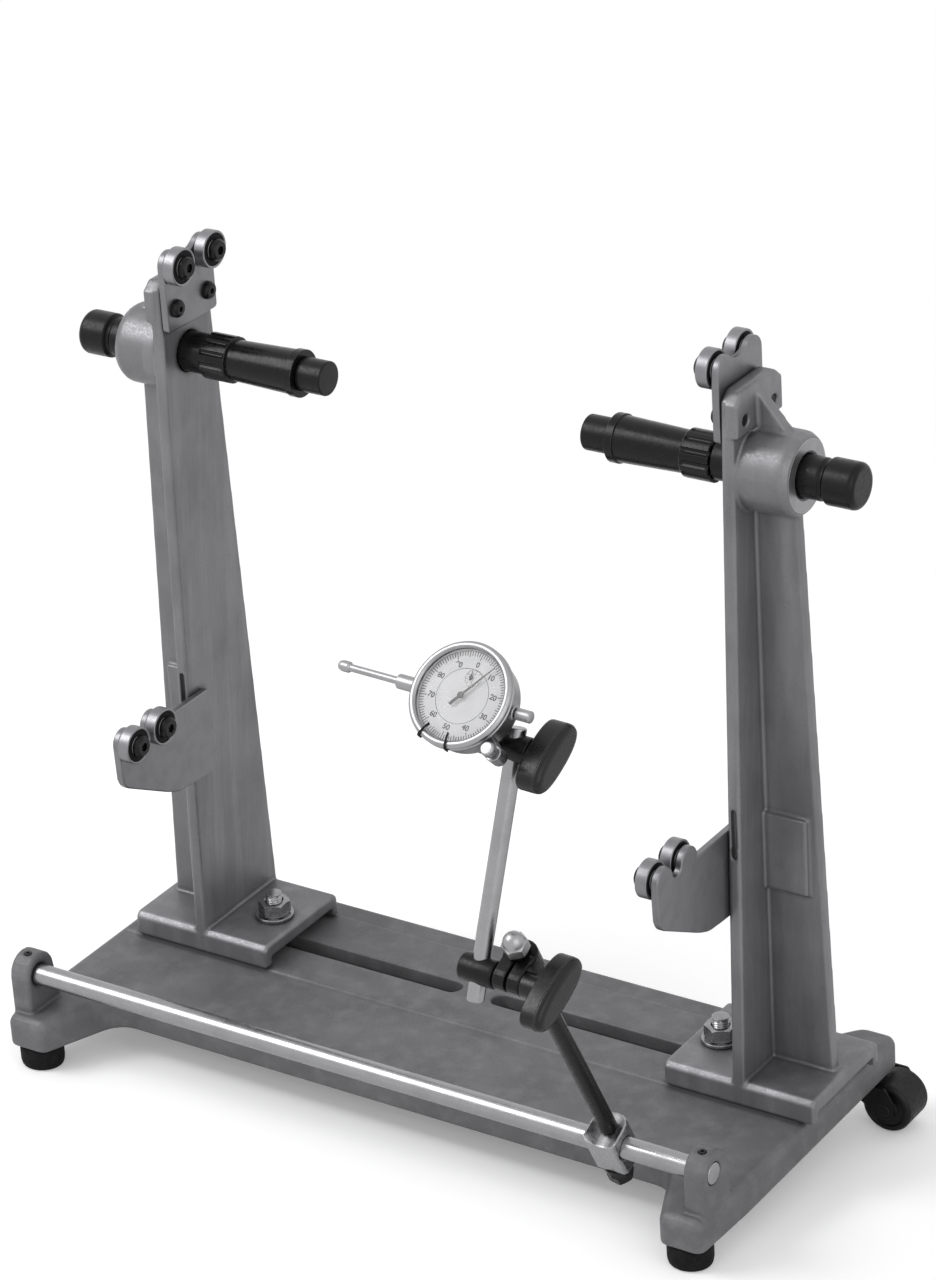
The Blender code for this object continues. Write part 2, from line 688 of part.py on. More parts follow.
def make_uprights(stand):
    """Cast uprights: web, rib, foot saddle, spindle boss and head in one piece each."""
    sunk = SADDLE_TOP - 0.006
    seat = BASE_TOP + TRACK_HEIGHT + GAP
    for word, side in SIDES.items():
        inner, outer = span(outward(side, 0.0), outward(side, WEB_THICKNESS))
        web = prism([(UPRIGHT_Y - web_half(sunk), sunk), (UPRIGHT_Y + web_half(sunk), sunk),
                     (UPRIGHT_Y + web_half(UPRIGHT_TOP - 0.005), UPRIGHT_TOP - 0.005),
                     (UPRIGHT_Y + WEB_TOP_HALF - 0.006, UPRIGHT_TOP),
                     (UPRIGHT_Y - WEB_TOP_HALF + 0.006, UPRIGHT_TOP),
                     (UPRIGHT_Y - web_half(UPRIGHT_TOP - 0.005), UPRIGHT_TOP - 0.005)],
                    inner, outer, "X", 0.0010)
        rib = prism([(outward(side, 0.004), sunk), (outward(side, rib_depth(sunk)), sunk),
                     (outward(side, rib_depth(SPINDLE_Z)), SPINDLE_Z),
                     (outward(side, 0.004), SPINDLE_Z)],
                    UPRIGHT_Y - RIB_PLATE / 2, UPRIGHT_Y + RIB_PLATE / 2, "Y", 0.0010)
        gusset = prism([(outward(side, 0.004), SPINDLE_Z), (outward(side, BOSS_REACH - 0.006), SPINDLE_Z),
                        (outward(side, BOSS_REACH - 0.008), SPINDLE_Z + BOSS_RADIUS - 0.001),
                        (outward(side, HEAD_THICKNESS - 0.001), UPRIGHT_TOP - 0.003),
                        (outward(side, 0.004), UPRIGHT_TOP - 0.003)],
                       UPRIGHT_Y - RIB_PLATE / 2, UPRIGHT_Y + RIB_PLATE / 2, "Y")
        head = prism([(UPRIGHT_Y - HEAD_HALF, HEAD_BOTTOM), (UPRIGHT_Y + HEAD_HALF, HEAD_BOTTOM),
                      (UPRIGHT_Y + HEAD_HALF, UPRIGHT_TOP - 0.006),
                      (UPRIGHT_Y + HEAD_HALF - 0.006, UPRIGHT_TOP - 0.0008),
                      (UPRIGHT_Y - HEAD_HALF + 0.006, UPRIGHT_TOP - 0.0008),
                      (UPRIGHT_Y - HEAD_HALF, UPRIGHT_TOP - 0.006)],
                     *span(outward(side, 0.003), outward(side, HEAD_THICKNESS)), "X", 0.0008)
        boss = turned_across(side, [(0, 0.003), (BOSS_RADIUS, 0.003), (BOSS_RADIUS, BOSS_REACH - 0.004),
                                    (BOSS_RADIUS - 0.0025, BOSS_REACH), (0, BOSS_REACH)],
                             UPRIGHT_Y, SPINDLE_Z, FINE_SIDES)
        saddle = prism([(SADDLE_FRONT, seat), (SADDLE_REAR, seat),
                        (SADDLE_REAR, SADDLE_TOP - 0.003), (SADDLE_REAR - 0.003, SADDLE_TOP),
                        (SADDLE_FRONT + 0.003, SADDLE_TOP), (SADDLE_FRONT, SADDLE_TOP - 0.003)],
                       *span(outward(side, -SADDLE_INBOARD), outward(side, SADDLE_OUTBOARD)),
                       "X", 0.0012)
        pad_y = UPRIGHT_Y - RIB_PLATE / 2
        pad = prism([(outward(side, PAD_INNER), PAD_BOTTOM), (outward(side, PAD_OUTER), PAD_BOTTOM),
                     (outward(side, PAD_OUTER), PAD_TOP), (outward(side, PAD_INNER), PAD_TOP)],
                    pad_y - PAD_PROUD, pad_y + 0.002, "Y", 0.0005)
        edge_y = UPRIGHT_Y - web_half(RECESS_BOTTOM)
        middle = WEB_THICKNESS / 2
        low, high = span(outward(side, middle - RECESS_WIDTH / 2), outward(side, middle + RECESS_WIDTH / 2))
        cut = [box((low, edge_y - 0.01, RECESS_BOTTOM), (high, edge_y + RECESS_DEPTH, RECESS_TOP)),
               across_bore(side, SPINDLE_RADIUS + GAP, -0.01, BOSS_REACH + 0.01,
                           UPRIGHT_Y, SPINDLE_Z, ROUND_SIDES),
               rod(STUD_RADIUS + GAP, BASE_TOP, SADDLE_TOP + 0.01,
                   Matrix.Translation((outward(side, -STUD_OFFSET), SLOT_Y, 0.0)))]
        low, high = span(outward(side, -SADDLE_INBOARD - 0.002), outward(side, SADDLE_OUTBOARD + 0.002))
        cut.append(box((low, SADDLE_FRONT + SADDLE_FLANGE, seat - 0.002),
                       (high, SADDLE_REAR - SADDLE_FLANGE, seat + SADDLE_RECESS)))
        for half in (-BRACKET_SCREW_HALF, BRACKET_SCREW_HALF):
            cut.append(across_bore(side, BRACKET_SCREW_RADIUS + GAP, -0.01, HEAD_THICKNESS + 0.01,
                                           UPRIGHT_Y + half, BRACKET_SCREW_Z))
        combine(web, [rib, gusset, head, boss, saddle, pad], cut)
        finish_part(web, "upright_" + word, "cast_aluminium", stand,
                    Matrix.Translation((outward(side, 0.0), UPRIGHT_Y, seat)))


def hexagon(flats, start, end, frame, chamfer=0.0006):
    """Hexagonal block along a frame's Z."""
    corner = flats / math.sqrt(3)
    outline = [(corner * math.cos(math.radians(60 * k)), corner * math.sin(math.radians(60 * k)))
               for k in range(6)]
    return placed(prism(outline, start, end, "Z", chamfer), frame)


def make_foot_fasteners(stand):
    """Studs through the slots with their nuts, each nut carrying its washer."""
    ceiling = BASE_TOP - FLOOR_THICKNESS
    for word, side in SIDES.items():
        frame = Matrix.Translation((outward(side, -STUD_OFFSET), SLOT_Y, 0.0))
        washer_low = SADDLE_TOP + GAP
        nut_low = washer_low + WASHER_THICKNESS
        nut_top = nut_low + NUT_HEIGHT
        head_top = ceiling - GAP
        shank = rod(STUD_RADIUS, head_top - 0.002, nut_top + STUD_ABOVE_NUT, frame, chamfer=0.0008)
        half = STUD_HEAD_HALF
        head = box((-half, -half, head_top - STUD_HEAD_THICKNESS), (half, half, head_top))
        combine(placed(head, frame), [shank])
        finish_part(head, "clamp_stud_" + word, "plated_steel", stand, frame)
        washer = turned([(STUD_RADIUS + GAP, washer_low), (WASHER_RADIUS, washer_low),
                         (WASHER_RADIUS, nut_low + 0.0002), (STUD_RADIUS + GAP, nut_low + 0.0002)], frame)
        nut = hexagon(NUT_FLATS, nut_low, nut_top, frame)
        bore = rod(STUD_RADIUS + GAP, washer_low - 0.001, nut_top + 0.001, frame, SMALL_SIDES)
        combine(nut, [washer], [bore])
        finish_part(nut, "clamp_nut_" + word, "plated_steel", stand, frame)


def make_spindles(stand):
    """Turned spindles through the bosses, each with a knob outside and a sleeve inside."""
    tip = -SPINDLE_TIP_REACH
    sleeve_in = -SLEEVE_INNER_END
    sleeve_out = -SLEEVE_OUTER_END
    core = SPINDLE_CORE
    for word, side in SIDES.items():
        frame = axes((outward(side, 0.0), UPRIGHT_Y, SPINDLE_Z), (0, side, 0), (0, 0, 1), (side, 0, 0))
        profile = [(0, tip), (SPINDLE_TIP_RADIUS - 0.0012, tip), (SPINDLE_TIP_RADIUS, tip + 0.0012),
                   (SPINDLE_TIP_RADIUS, sleeve_in - GAP), (core, sleeve_in - GAP),
                   (core, sleeve_out + GAP), (SPINDLE_RADIUS - 0.0005, sleeve_out + GAP),
                   (SPINDLE_RADIUS, sleeve_out + 0.0010), (SPINDLE_RADIUS, SPINDLE_SHOULDER),
                   (KNOB_NECK_RADIUS, SPINDLE_SHOULDER + 0.001), (KNOB_NECK_RADIUS, KNOB_START - 0.001),
                   (KNOB_RADIUS - 0.0008, KNOB_START), (KNOB_RADIUS, KNOB_START + 0.0010),
                   *arc((KNOB_RADIUS - KNOB_ROUND, KNOB_END - KNOB_ROUND), KNOB_ROUND, 0, 90, 3),
                   (0, KNOB_END)]
        finish_part(turned(profile, frame), "spindle_" + word, "black_oxide", stand, frame)
        flute_end = sleeve_out - FLUTE_LENGTH
        ring_start = sleeve_in + SLEEVE_RING_LENGTH
        sleeve = [(core + GAP, sleeve_out), (FLUTE_RADIUS - 0.001, sleeve_out),
                  (FLUTE_RADIUS, sleeve_out - 0.001), (FLUTE_RADIUS, flute_end + 0.001),
                  (SLEEVE_SMALL_RADIUS, flute_end), (SLEEVE_LARGE_RADIUS, ring_start),
                  (SLEEVE_RING_RADIUS, ring_start - 0.0006), (SLEEVE_RING_RADIUS, sleeve_in + 0.0006),
                  (SLEEVE_RING_RADIUS - 0.0006, sleeve_in), (core + GAP, sleeve_in)]
        finish_part(turned(sleeve, frame, 24, 12, FLUTE_DEPTH, (2, 3)), "centring_sleeve_" + word,
                    "black_oxide", stand, frame)


def ear_pair(half, dip, first, last):
    """Two round ears at plus and minus half, with a valley between them that touches both."""
    valley = (half ** 2 + dip ** 2 - EAR_ROUND ** 2) / (2 * (EAR_ROUND - dip))
    centre = valley + dip
    lean = math.degrees(math.atan2(centre, half))
    return [*arc((half, 0), EAR_ROUND, first, 180 - lean, 7),
            *arc((0, centre), valley, -lean, lean - 180, 6)[1:-1],
            *arc((-half, 0), EAR_ROUND, lean, last, 7)]


def upper_bracket_outline():
    """Roller seat near the top: two round ears with a shallow valley between them."""
    bottom = UPPER_BRACKET_BOTTOM
    half = UPPER_ROLLER_HALF + EAR_ROUND
    return [(UPRIGHT_Y - half, bottom + 0.003), (UPRIGHT_Y - half + 0.003, bottom),
            (UPRIGHT_Y + half - 0.003, bottom), (UPRIGHT_Y + half, bottom + 0.003),
            *[(UPRIGHT_Y + y, UPPER_ROLLER_Z + z)
              for y, z in ear_pair(UPPER_ROLLER_HALF, UPPER_DIP, 0, 180)]]


def lower_bracket_outline():
    """Low roller seat that reaches forward of the web."""
    middle = (LOWER_ROLLER_FRONT + LOWER_ROLLER_REAR) / 2
    half = (LOWER_ROLLER_REAR - LOWER_ROLLER_FRONT) / 2
    return [*LOWER_SEAT_EDGE,
            *[(middle + y, LOWER_ROLLER_Z + z) for y, z in ear_pair(half, LOWER_DIP, -10, 180)]]


def roller_places():
    """Name, Y and Z of every roller."""
    return (("upper", "front", UPRIGHT_Y - UPPER_ROLLER_HALF, UPPER_ROLLER_Z),
            ("upper", "rear", UPRIGHT_Y + UPPER_ROLLER_HALF, UPPER_ROLLER_Z),
            ("lower", "front", LOWER_ROLLER_FRONT, LOWER_ROLLER_Z),
            ("lower", "rear", LOWER_ROLLER_REAR, LOWER_ROLLER_Z))


def make_brackets(stand):
    """Roller seats on the inner faces, with a spacer behind each roller."""
    bore = ROLLER_BORE + GAP
    for word, side in SIDES.items():
        for level, outline in (("upper", upper_bracket_outline()), ("lower", lower_bracket_outline())):
            plate = prism(outline, *span(outward(side, -GAP), outward(side, -GAP - BRACKET_THICKNESS)),
                          "X", 0.0005)
            spacers = []
            holes = []
            for height, _, y, z in roller_places():
                if height != level:
                    continue
                reach = span(outward(side, -0.002), outward(side, -ROLLER_OFFSET + GAP))
                spacers.append(prism(arc((y, z), SPACER_RADIUS, 0, 330, 11), *reach, "X"))
                holes.append(across_bore(side, bore, -ROLLER_OFFSET - 0.002, 0.002, y, z))
            if level == "upper":
                for half in (-BRACKET_SCREW_HALF, BRACKET_SCREW_HALF):
                    holes.append(across_bore(side, BRACKET_SCREW_RADIUS + GAP,
                                                     -BRACKET_THICKNESS - 0.003, 0.003,
                                                     UPRIGHT_Y + half, BRACKET_SCREW_Z))
            combine(plate, spacers, holes)
            finish_part(plate, level + "_bracket_" + word, "bearing_steel", stand)


def make_rollers(stand):
    """Ball bearing rollers and the screws that carry them."""
    start = -ROLLER_OFFSET
    end = start - ROLLER_WIDTH
    bore = ROLLER_BORE + BEARING_GAP
    for word, side in SIDES.items():
        for level, place, y, z in roller_places():
            frame = axes((outward(side, 0.0), y, z), (0, side, 0), (0, 0, 1), (side, 0, 0))
            ring = [(bore, start), (ROLLER_RADIUS - 0.0006, start), (ROLLER_RADIUS, start - 0.0006),
                    (ROLLER_RADIUS, end + 0.0006), (ROLLER_RADIUS - 0.0006, end), (bore, end)]
            name = "%s_roller_%s_%s" % (level, word, place)
            finish_part(turned(ring, frame), name, "bearing_steel", stand, frame)
            head = end - GAP
            screw = [(0, -0.0008), (ROLLER_BORE, -0.0008), (ROLLER_BORE, head), (ROLLER_HEAD_RADIUS, head),
                     (ROLLER_HEAD_RADIUS, head - 0.0012),
                     (ROLLER_HEAD_RADIUS * 0.62, head - ROLLER_HEAD_HEIGHT), (0, head - ROLLER_HEAD_HEIGHT)]
            name = "%s_roller_screw_%s_%s" % (level, word, place)
            finish_part(turned(screw, frame, SMALL_SIDES), name, "black_oxide", stand, frame)


def make_bracket_screws(stand):
    """Button-head screws that hold the upper roller seats."""
    head = -GAP - BRACKET_THICKNESS - GAP
    for word, side in SIDES.items():
        for place, half in (("front", -BRACKET_SCREW_HALF), ("rear", BRACKET_SCREW_HALF)):
            y = UPRIGHT_Y + half
            frame = axes((outward(side, 0.0), y, BRACKET_SCREW_Z), (0, side, 0), (0, 0, 1), (side, 0, 0))
            screw = [(0, HEAD_THICKNESS - 0.001), (BRACKET_SCREW_RADIUS, HEAD_THICKNESS - 0.001),
                     (BRACKET_SCREW_RADIUS, head), (BRACKET_HEAD_RADIUS, head),
                     (BRACKET_HEAD_RADIUS, head - 0.0010),
                     (BRACKET_HEAD_RADIUS * 0.6, head - BRACKET_HEAD_HEIGHT),
                     (0, head - BRACKET_HEAD_HEIGHT)]
            finish_part(turned(screw, frame, SMALL_SIDES), "bracket_screw_%s_%s" % (word, place),
                        "black_oxide", stand, frame)


def arm_frame():
    """Frame of the leaning arm: X along the rail, Y to the rear, Z up the arm, foot by the rail."""
    lean = math.radians(ARM_LEAN)
    back = Vector((0, math.cos(lean), math.sin(lean)))
    rise = Vector((0, -math.sin(lean), math.cos(lean)))
    origin = Vector((CLAMP_X, RAIL_Y, RAIL_Z)) + back * ARM_SETBACK
    return axes(origin, Vector((1, 0, 0)), back, rise)


def swivel_frame():
    """Frame of the lower swivel: X along its screw, Z up the arm, origin on the screw."""
    frame = arm_frame() @ Matrix.Rotation(math.radians(SWIVEL_YAW), 4, "Z")
    return frame @ Matrix.Translation((0, -SWIVEL_OFFSET, SWIVEL_UP_ARM))


def post_frame():
    """Frame of the post: Z up the post, X along the swivel's screw, origin where they cross."""
    frame = swivel_frame() @ Matrix.Translation((-POST_OFFSET, 0, 0))
    return frame @ Matrix.Rotation(math.radians(-POST_LEAN), 4, "X")


def grip_frame():
    """Frame of the upper clamp: X along its screw, Z up the post, origin where they cross."""
    frame = post_frame() @ Matrix.Translation((0, 0, POST_GRIP_SPAN))
    rise = frame.to_3x3().col[2].normalized()
    sideways = (Vector((1, 0, 0)) - rise * rise.x).normalized()
    return axes(frame.translation, sideways, rise.cross(sideways), rise)


def dial_frame():
    """Frame of the dial: X along its stem, Y up the face, Z out of the face, origin at its front."""
    grip = grip_frame()
    sideways = grip.to_3x3().col[0].normalized()
    pitch = math.radians(DIAL_PITCH)
    facing = Vector((0, -math.cos(pitch), math.sin(pitch)))
    facing = (facing - sideways * facing.dot(sideways)).normalized()
    up = facing.cross(sideways)
    lug = grip.translation - sideways * LUG_ALONG
    return axes(lug + facing * LUG_DEPTH + up * LUG_BELOW, sideways, up, facing)


def make_rail_clamp(stand):
    """Block that slides on the rail, scooped on top round the arm, with its bolt below."""
    frame = arm_frame()
    rear = arc((0, 0), CLAMP_HALF_WIDTH, 0, 180, 8)
    outline = [(-CLAMP_HALF_WIDTH, -CLAMP_FRONT + 0.002), (-CLAMP_HALF_WIDTH + 0.002, -CLAMP_FRONT),
               (CLAMP_HALF_WIDTH - 0.002, -CLAMP_FRONT), (CLAMP_HALF_WIDTH, -CLAMP_FRONT + 0.002), *rear]
    block = placed(prism(outline, -CLAMP_BOTTOM, CLAMP_TOP, "Z", 0.0008), frame)
    rail = frame.inverted() @ Vector((CLAMP_X, RAIL_Y, RAIL_Z))
    scoop = rod(COLLAR_SCOOP, -0.04, 0.04,
                along((0, 0, CLAMP_TOP + COLLAR_SCOOP - 0.0045), (0, 1, 0)), FINE_SIDES)
    cut = [placed(scoop, frame),
           placed(rod(RAIL_RADIUS + GAP, -0.03, 0.03, along(rail, (1, 0, 0))), frame),
           placed(rod(ARM_RADIUS + GAP, ARM_START - GAP, 0.03, Matrix.Identity(4)), frame),
           placed(rod(BOLT_RADIUS + GAP, -CLAMP_BOTTOM - 0.01, rail.z,
                      Matrix.Translation((0, rail.y - BOLT_FORWARD, 0)), SMALL_SIDES), frame)]
    combine(block, [], cut)
    finish_part(block, "rail_clamp", "plated_steel", stand,
                Matrix.Translation((CLAMP_X, RAIL_Y, RAIL_Z)))
    nut_top = -CLAMP_BOTTOM - GAP
    head_top = nut_top - LOCK_NUT_HEIGHT + 0.0002
    seat = Matrix.Translation((0, rail.y - BOLT_FORWARD, 0))
    shank = placed(rod(BOLT_RADIUS, head_top - 0.001, -RAIL_RADIUS - 2 * GAP, seat,
                       SMALL_SIDES, 0.0005), frame)
    nut = placed(hexagon(LOCK_NUT_FLATS, nut_top - LOCK_NUT_HEIGHT, nut_top, seat), frame)
    head = placed(hexagon(BOLT_FLATS, head_top - BOLT_HEAD_HEIGHT, head_top,
                          seat @ Matrix.Rotation(math.radians(20), 4, "Z")), frame)
    combine(head, [nut, shank])
    finish_part(head, "clamp_bolt", "black_oxide", stand, frame @ seat)


def make_arm(stand):
    """Leaning arm with its domed nut."""
    frame = arm_frame()
    hex_low = ARM_END - ACORN_HEX_HEIGHT
    thread = ARM_RADIUS - 0.0012
    arm = turned([(0, ARM_START), (ARM_RADIUS - 0.0005, ARM_START), (ARM_RADIUS, ARM_START + 0.0005),
                  (ARM_RADIUS, hex_low - GAP), (thread, hex_low - GAP), (thread, ARM_END + 0.002),
                  (0, ARM_END + 0.002)], frame)
    finish_part(arm, "arm_rod", "black_oxide", stand, frame)
    dome_base = ARM_END
    dome = arc((0, dome_base), ACORN_RADIUS, 0, 72, 4)
    cap = turned([(0, hex_low + 0.001), (ACORN_RADIUS, hex_low + 0.001), *dome,
                  (0, dome_base + ACORN_RADIUS)], frame)
    nut = hexagon(ACORN_FLATS, hex_low, ARM_END - 0.0002, frame)
    bore = rod(thread + GAP, hex_low - 0.002, ARM_END + 0.002 + GAP, frame, SMALL_SIDES)
    combine(nut, [cap], [bore])
    finish_part(nut, "acorn_nut", "satin_chrome", stand, frame)


def oval_rings(length, width, levels):
    """Rings of an oval knob about X: each level is (x, share of the full outline)."""
    rings = []
    for x, share in levels:
        ring = []
        for step in range(24):
            angle = 2 * math.pi * step / 24
            across = math.cos(angle)
            upwards = math.sin(angle)
            y = math.copysign(abs(across) ** 0.85, across) * (length / 2 - width / 2 * (1 - share))
            z = math.copysign(abs(upwards) ** 0.85, upwards) * width / 2 * share
            ring.append((x, y, z))
        rings.append(ring)
    return rings


def oval_knob(frame, start, end, length, width, boss_start, screw_end):
    """Oval knob with its boss and screw along a frame's X."""
    dome = (end - start) * 0.25
    body = placed(lofted(oval_rings(length, width, (
        (start, 0.80), (start + 0.0014, 1.0), (end - dome, 1.0),
        (end - dome * 0.4, 0.86), (end, 0.56)))), frame)
    line = frame @ along((0, 0, 0), (1, 0, 0))
    boss = rod(KNOB_BOSS_RADIUS, boss_start, start + 0.002, line, chamfer=0.0004)
    screw = rod(SCREW_RADIUS, screw_end, boss_start + 0.002, line, SMALL_SIDES, 0.0004)
    return combine(body, [boss, screw])


def make_lower_swivel(stand):
    """Split clamp round the arm, barrel that grips the post, and their knob."""
    frame = swivel_frame()
    half = LUG_HALF_WIDTH
    height = LUG_ROUND
    loop = rod(LOOP_RADIUS, -height + 0.0004, height - 0.0004,
               Matrix.Translation((0, SWIVEL_OFFSET, 0)), 24, 0.0006)
    lugs = prism([*arc((0, 0), LUG_ROUND, 90, 270, 8), (SWIVEL_OFFSET, -height), (SWIVEL_OFFSET, height)],
                 -half, half, "X", 0.0006)
    cut = [rod(ARM_RADIUS + GAP, -0.02, 0.02, Matrix.Translation((0, SWIVEL_OFFSET, 0))),
           box((-SLIT_HALF, -0.02, -0.02), (SLIT_HALF, SWIVEL_OFFSET, 0.02)),
           rod(SCREW_RADIUS + GAP, -0.02, 0.02, along((0, 0, 0), (1, 0, 0)), SMALL_SIDES)]
    clamp = combine(lugs, [loop], cut)
    finish_part(placed(clamp, frame), "lower_clamp", "black_oxide", stand,
                frame @ Matrix.Translation((0, SWIVEL_OFFSET, 0)))
    barrel_start = half + GAP
    line = along((0, 0, 0), (1, 0, 0))
    barrel = placed(rod(BARREL_RADIUS, -BARREL_END, -barrel_start, line, chamfer=0.0010), frame)
    screw_reach = POST_OFFSET - POST_RADIUS - 2 * GAP
    hole = rod(SCREW_RADIUS + GAP, -POST_OFFSET, 0.0, line, SMALL_SIDES)
    combine(barrel, [], [rod(POST_RADIUS + GAP, -0.02, 0.02, post_frame()), placed(hole, frame)])
    finish_part(barrel, "lower_barrel", "black_oxide", stand, frame)
    knob = oval_knob(frame, LOWER_KNOB_START, LOWER_KNOB_END, OVAL_LENGTH, OVAL_WIDTH,
                     barrel_start, -screw_reach + GAP)
    finish_part(knob, "lower_knob", "black_plastic", stand, frame)


def make_post(stand):
    """Ground post through both barrels."""
    frame = post_frame()
    post = rod(POST_RADIUS, -POST_BELOW, POST_GRIP_SPAN + POST_ABOVE, frame, chamfer=0.0006)
    finish_part(post, "post_rod", "ground_steel", stand, frame)


def make_upper_swivel(stand):
    """Upper barrel on the post, with the stud that carries the dial's lug, and its knob."""
    frame = grip_frame()
    line = frame @ along((0, 0, 0), (1, 0, 0))
    lug_right = -LUG_ALONG + LUG_THICKNESS / 2 + GAP
    lug_left = -LUG_ALONG - LUG_THICKNESS / 2 - GAP
    stud = LUG_HOLE - GAP
    body = turned([(0, lug_left - 0.0025), (0.0048, lug_left - 0.0025), (0.0052, lug_left - 0.0021),
                   (0.0052, lug_left), (stud, lug_left), (stud, lug_right),
                   (UPPER_BARREL_RADIUS - 0.001, lug_right), (UPPER_BARREL_RADIUS, lug_right + 0.001),
                   (UPPER_BARREL_RADIUS, UPPER_BARREL_END - 0.001),
                   (UPPER_BARREL_RADIUS - 0.001, UPPER_BARREL_END), (0, UPPER_BARREL_END)], line)
    screw_end = POST_RADIUS + 2 * GAP
    cut = [rod(POST_RADIUS + GAP, -0.02, 0.02, frame),
           rod(SCREW_RADIUS + GAP, 0.0, 0.02, line, SMALL_SIDES)]
    combine(body, [], cut)
    finish_part(body, "upper_clamp", "black_oxide", stand, frame)
    turn = frame @ Matrix.Rotation(math.radians(POST_LEAN), 4, "X")
    knob = oval_knob(turn, UPPER_KNOB_START, UPPER_KNOB_END, UPPER_OVAL_LENGTH, OVAL_WIDTH,
                     UPPER_BARREL_END + GAP, screw_end)
    finish_part(knob, "upper_knob", "black_plastic", stand, turn)


def make_dial_case(stand):
    """Dial case with stem, rear tube, back lug and the boss of the rim's lock screw."""
    frame = dial_frame()
    neck = BEZEL_RADIUS - BEZEL_WALL - GAP
    shoulder = -BEZEL_DEPTH - GAP
    case = turned([(0, -CASE_DEPTH), (CASE_RADIUS - 0.002, -CASE_DEPTH), (CASE_RADIUS, -CASE_DEPTH + 0.002),
                   (CASE_RADIUS, shoulder), (neck, shoulder), (neck, -FACE_DEPTH), (0, -FACE_DEPTH)],
                  None, FINE_SIDES)
    level = Matrix.Translation((0, 0, -STEM_DEPTH))
    stem_line = level @ along((0, 0, 0), (-1, 0, 0))
    stem = rod(STEM_RADIUS, CASE_RADIUS - 0.006, STEM_REACH, stem_line, chamfer=0.0004)
    tube = rod(STEM_RADIUS, CASE_RADIUS - 0.006, SIDE_TUBE_REACH,
               level @ along((0, 0, 0), (1, 0, 0)), chamfer=0.0004)
    lug = prism([*arc((-LUG_BELOW, -LUG_DEPTH), LUG_RADIUS, 180, 360, 8),
                 (-LUG_BELOW + LUG_RADIUS, -CASE_DEPTH + 0.003),
                 (-LUG_BELOW - LUG_RADIUS, -CASE_DEPTH + 0.003)],
                -LUG_THICKNESS / 2, LUG_THICKNESS / 2, "X", 0.0004)
    angle = math.radians(LOCK_ANGLE)
    spoke = Matrix.Rotation(angle, 4, "Z")
    boss = rod(LOCK_RADIUS + 0.0006, -CASE_DEPTH + 0.004, -BEZEL_DEPTH - 0.003,
               spoke @ Matrix.Translation((LOCK_ORBIT, 0, 0)), 16, 0.0004)
    web = placed(box((CASE_RADIUS - 0.004, -0.0035, -CASE_DEPTH + 0.005),
                     (LOCK_ORBIT - 0.001, 0.0035, -BEZEL_DEPTH - 0.0034)), spoke)
    bore = rod(PLUNGER_RADIUS + GAP, -0.08, 0.08, stem_line, SMALL_SIDES)
    hole = rod(LUG_HOLE, -0.02, 0.02, along((0, -LUG_BELOW, -LUG_DEPTH), (1, 0, 0)), SMALL_SIDES)
    hub_drop = NEEDLE_THICKNESS * 0.4 + GAP
    arbors = [rod(ARBOR_RADIUS, -FACE_DEPTH - 0.002, -FACE_DEPTH + lift - hub_drop,
                  Matrix.Translation((x, y, 0)), SMALL_SIDES)
              for x, y, lift in ((0, 0, NEEDLE_LIFT), (SUB_DIAL_X, SUB_DIAL_Y, COUNTER_LIFT))]
    combine(case, [stem, tube, lug, boss, web, *arbors], [bore, hole])
    finish_part(placed(case, frame), "dial_case", "satin_chrome", stand,
                frame @ Matrix.Translation((0, -LUG_BELOW, -LUG_DEPTH)))


def make_dial_rim(stand):
    """Turning rim of the dial and the small screw that locks it."""
    frame = dial_frame()
    inner = BEZEL_RADIUS - BEZEL_WALL
    rim = turned([(inner, -BEZEL_DEPTH), (BEZEL_RADIUS - 0.0006, -BEZEL_DEPTH),
                  (BEZEL_RADIUS, -BEZEL_DEPTH + 0.0006), (BEZEL_RADIUS, -0.0012),
                  (BEZEL_RADIUS - 0.0012, 0), (BEZEL_OPENING + 0.0004, 0), (BEZEL_OPENING, -BEZEL_LIP),
                  (inner, -BEZEL_LIP)], frame, FINE_SIDES)
    finish_part(rim, "dial_bezel", "satin_chrome", stand, frame)
    spoke = Matrix.Rotation(math.radians(LOCK_ANGLE), 4, "Z") @ Matrix.Translation((LOCK_ORBIT, 0, 0))
    low = -BEZEL_DEPTH - 0.003 + GAP
    lock = rod(LOCK_RADIUS, low, -0.001, frame @ spoke, SMALL_SIDES, 0.0006)
    finish_part(lock, "bezel_lock", "satin_chrome", stand, frame @ spoke)


def hand(length, tail, width, hub, low):
    """Flat tapering hand along X with a round hub, carried on an arbor of the case."""
    blade = prism([(-tail, -width), (length, -width * 0.25), (length, width * 0.25), (-tail, width)],
                  low, low + NEEDLE_THICKNESS, "Z")
    centre = rod(hub, low - NEEDLE_THICKNESS * 0.4, low + NEEDLE_THICKNESS * 1.9, Matrix.Identity(4), 10)
    return combine(centre, [blade])


def make_hands(stand):
    """Long hand at the dial's centre and short hand of its turn counter."""
    frame = dial_frame()
    long_frame = frame @ Matrix.Rotation(math.radians(NEEDLE_ANGLE), 4, "Z")
    needle = hand(NEEDLE_LENGTH, NEEDLE_TAIL, 0.0009, 0.0018, -FACE_DEPTH + NEEDLE_LIFT)
    finish_part(placed(needle, long_frame), "dial_needle", "black_oxide", stand, long_frame)
    short_frame = frame @ Matrix.Translation((SUB_DIAL_X, SUB_DIAL_Y, 0))
    short_frame = short_frame @ Matrix.Rotation(math.radians(NEEDLE_ANGLE + 40), 4, "Z")
    counter = hand(COUNTER_LENGTH, COUNTER_LENGTH * 0.5, 0.0006, 0.0009, -FACE_DEPTH + COUNTER_LIFT)
    finish_part(placed(counter, short_frame), "counter_needle", "black_oxide", stand, short_frame)


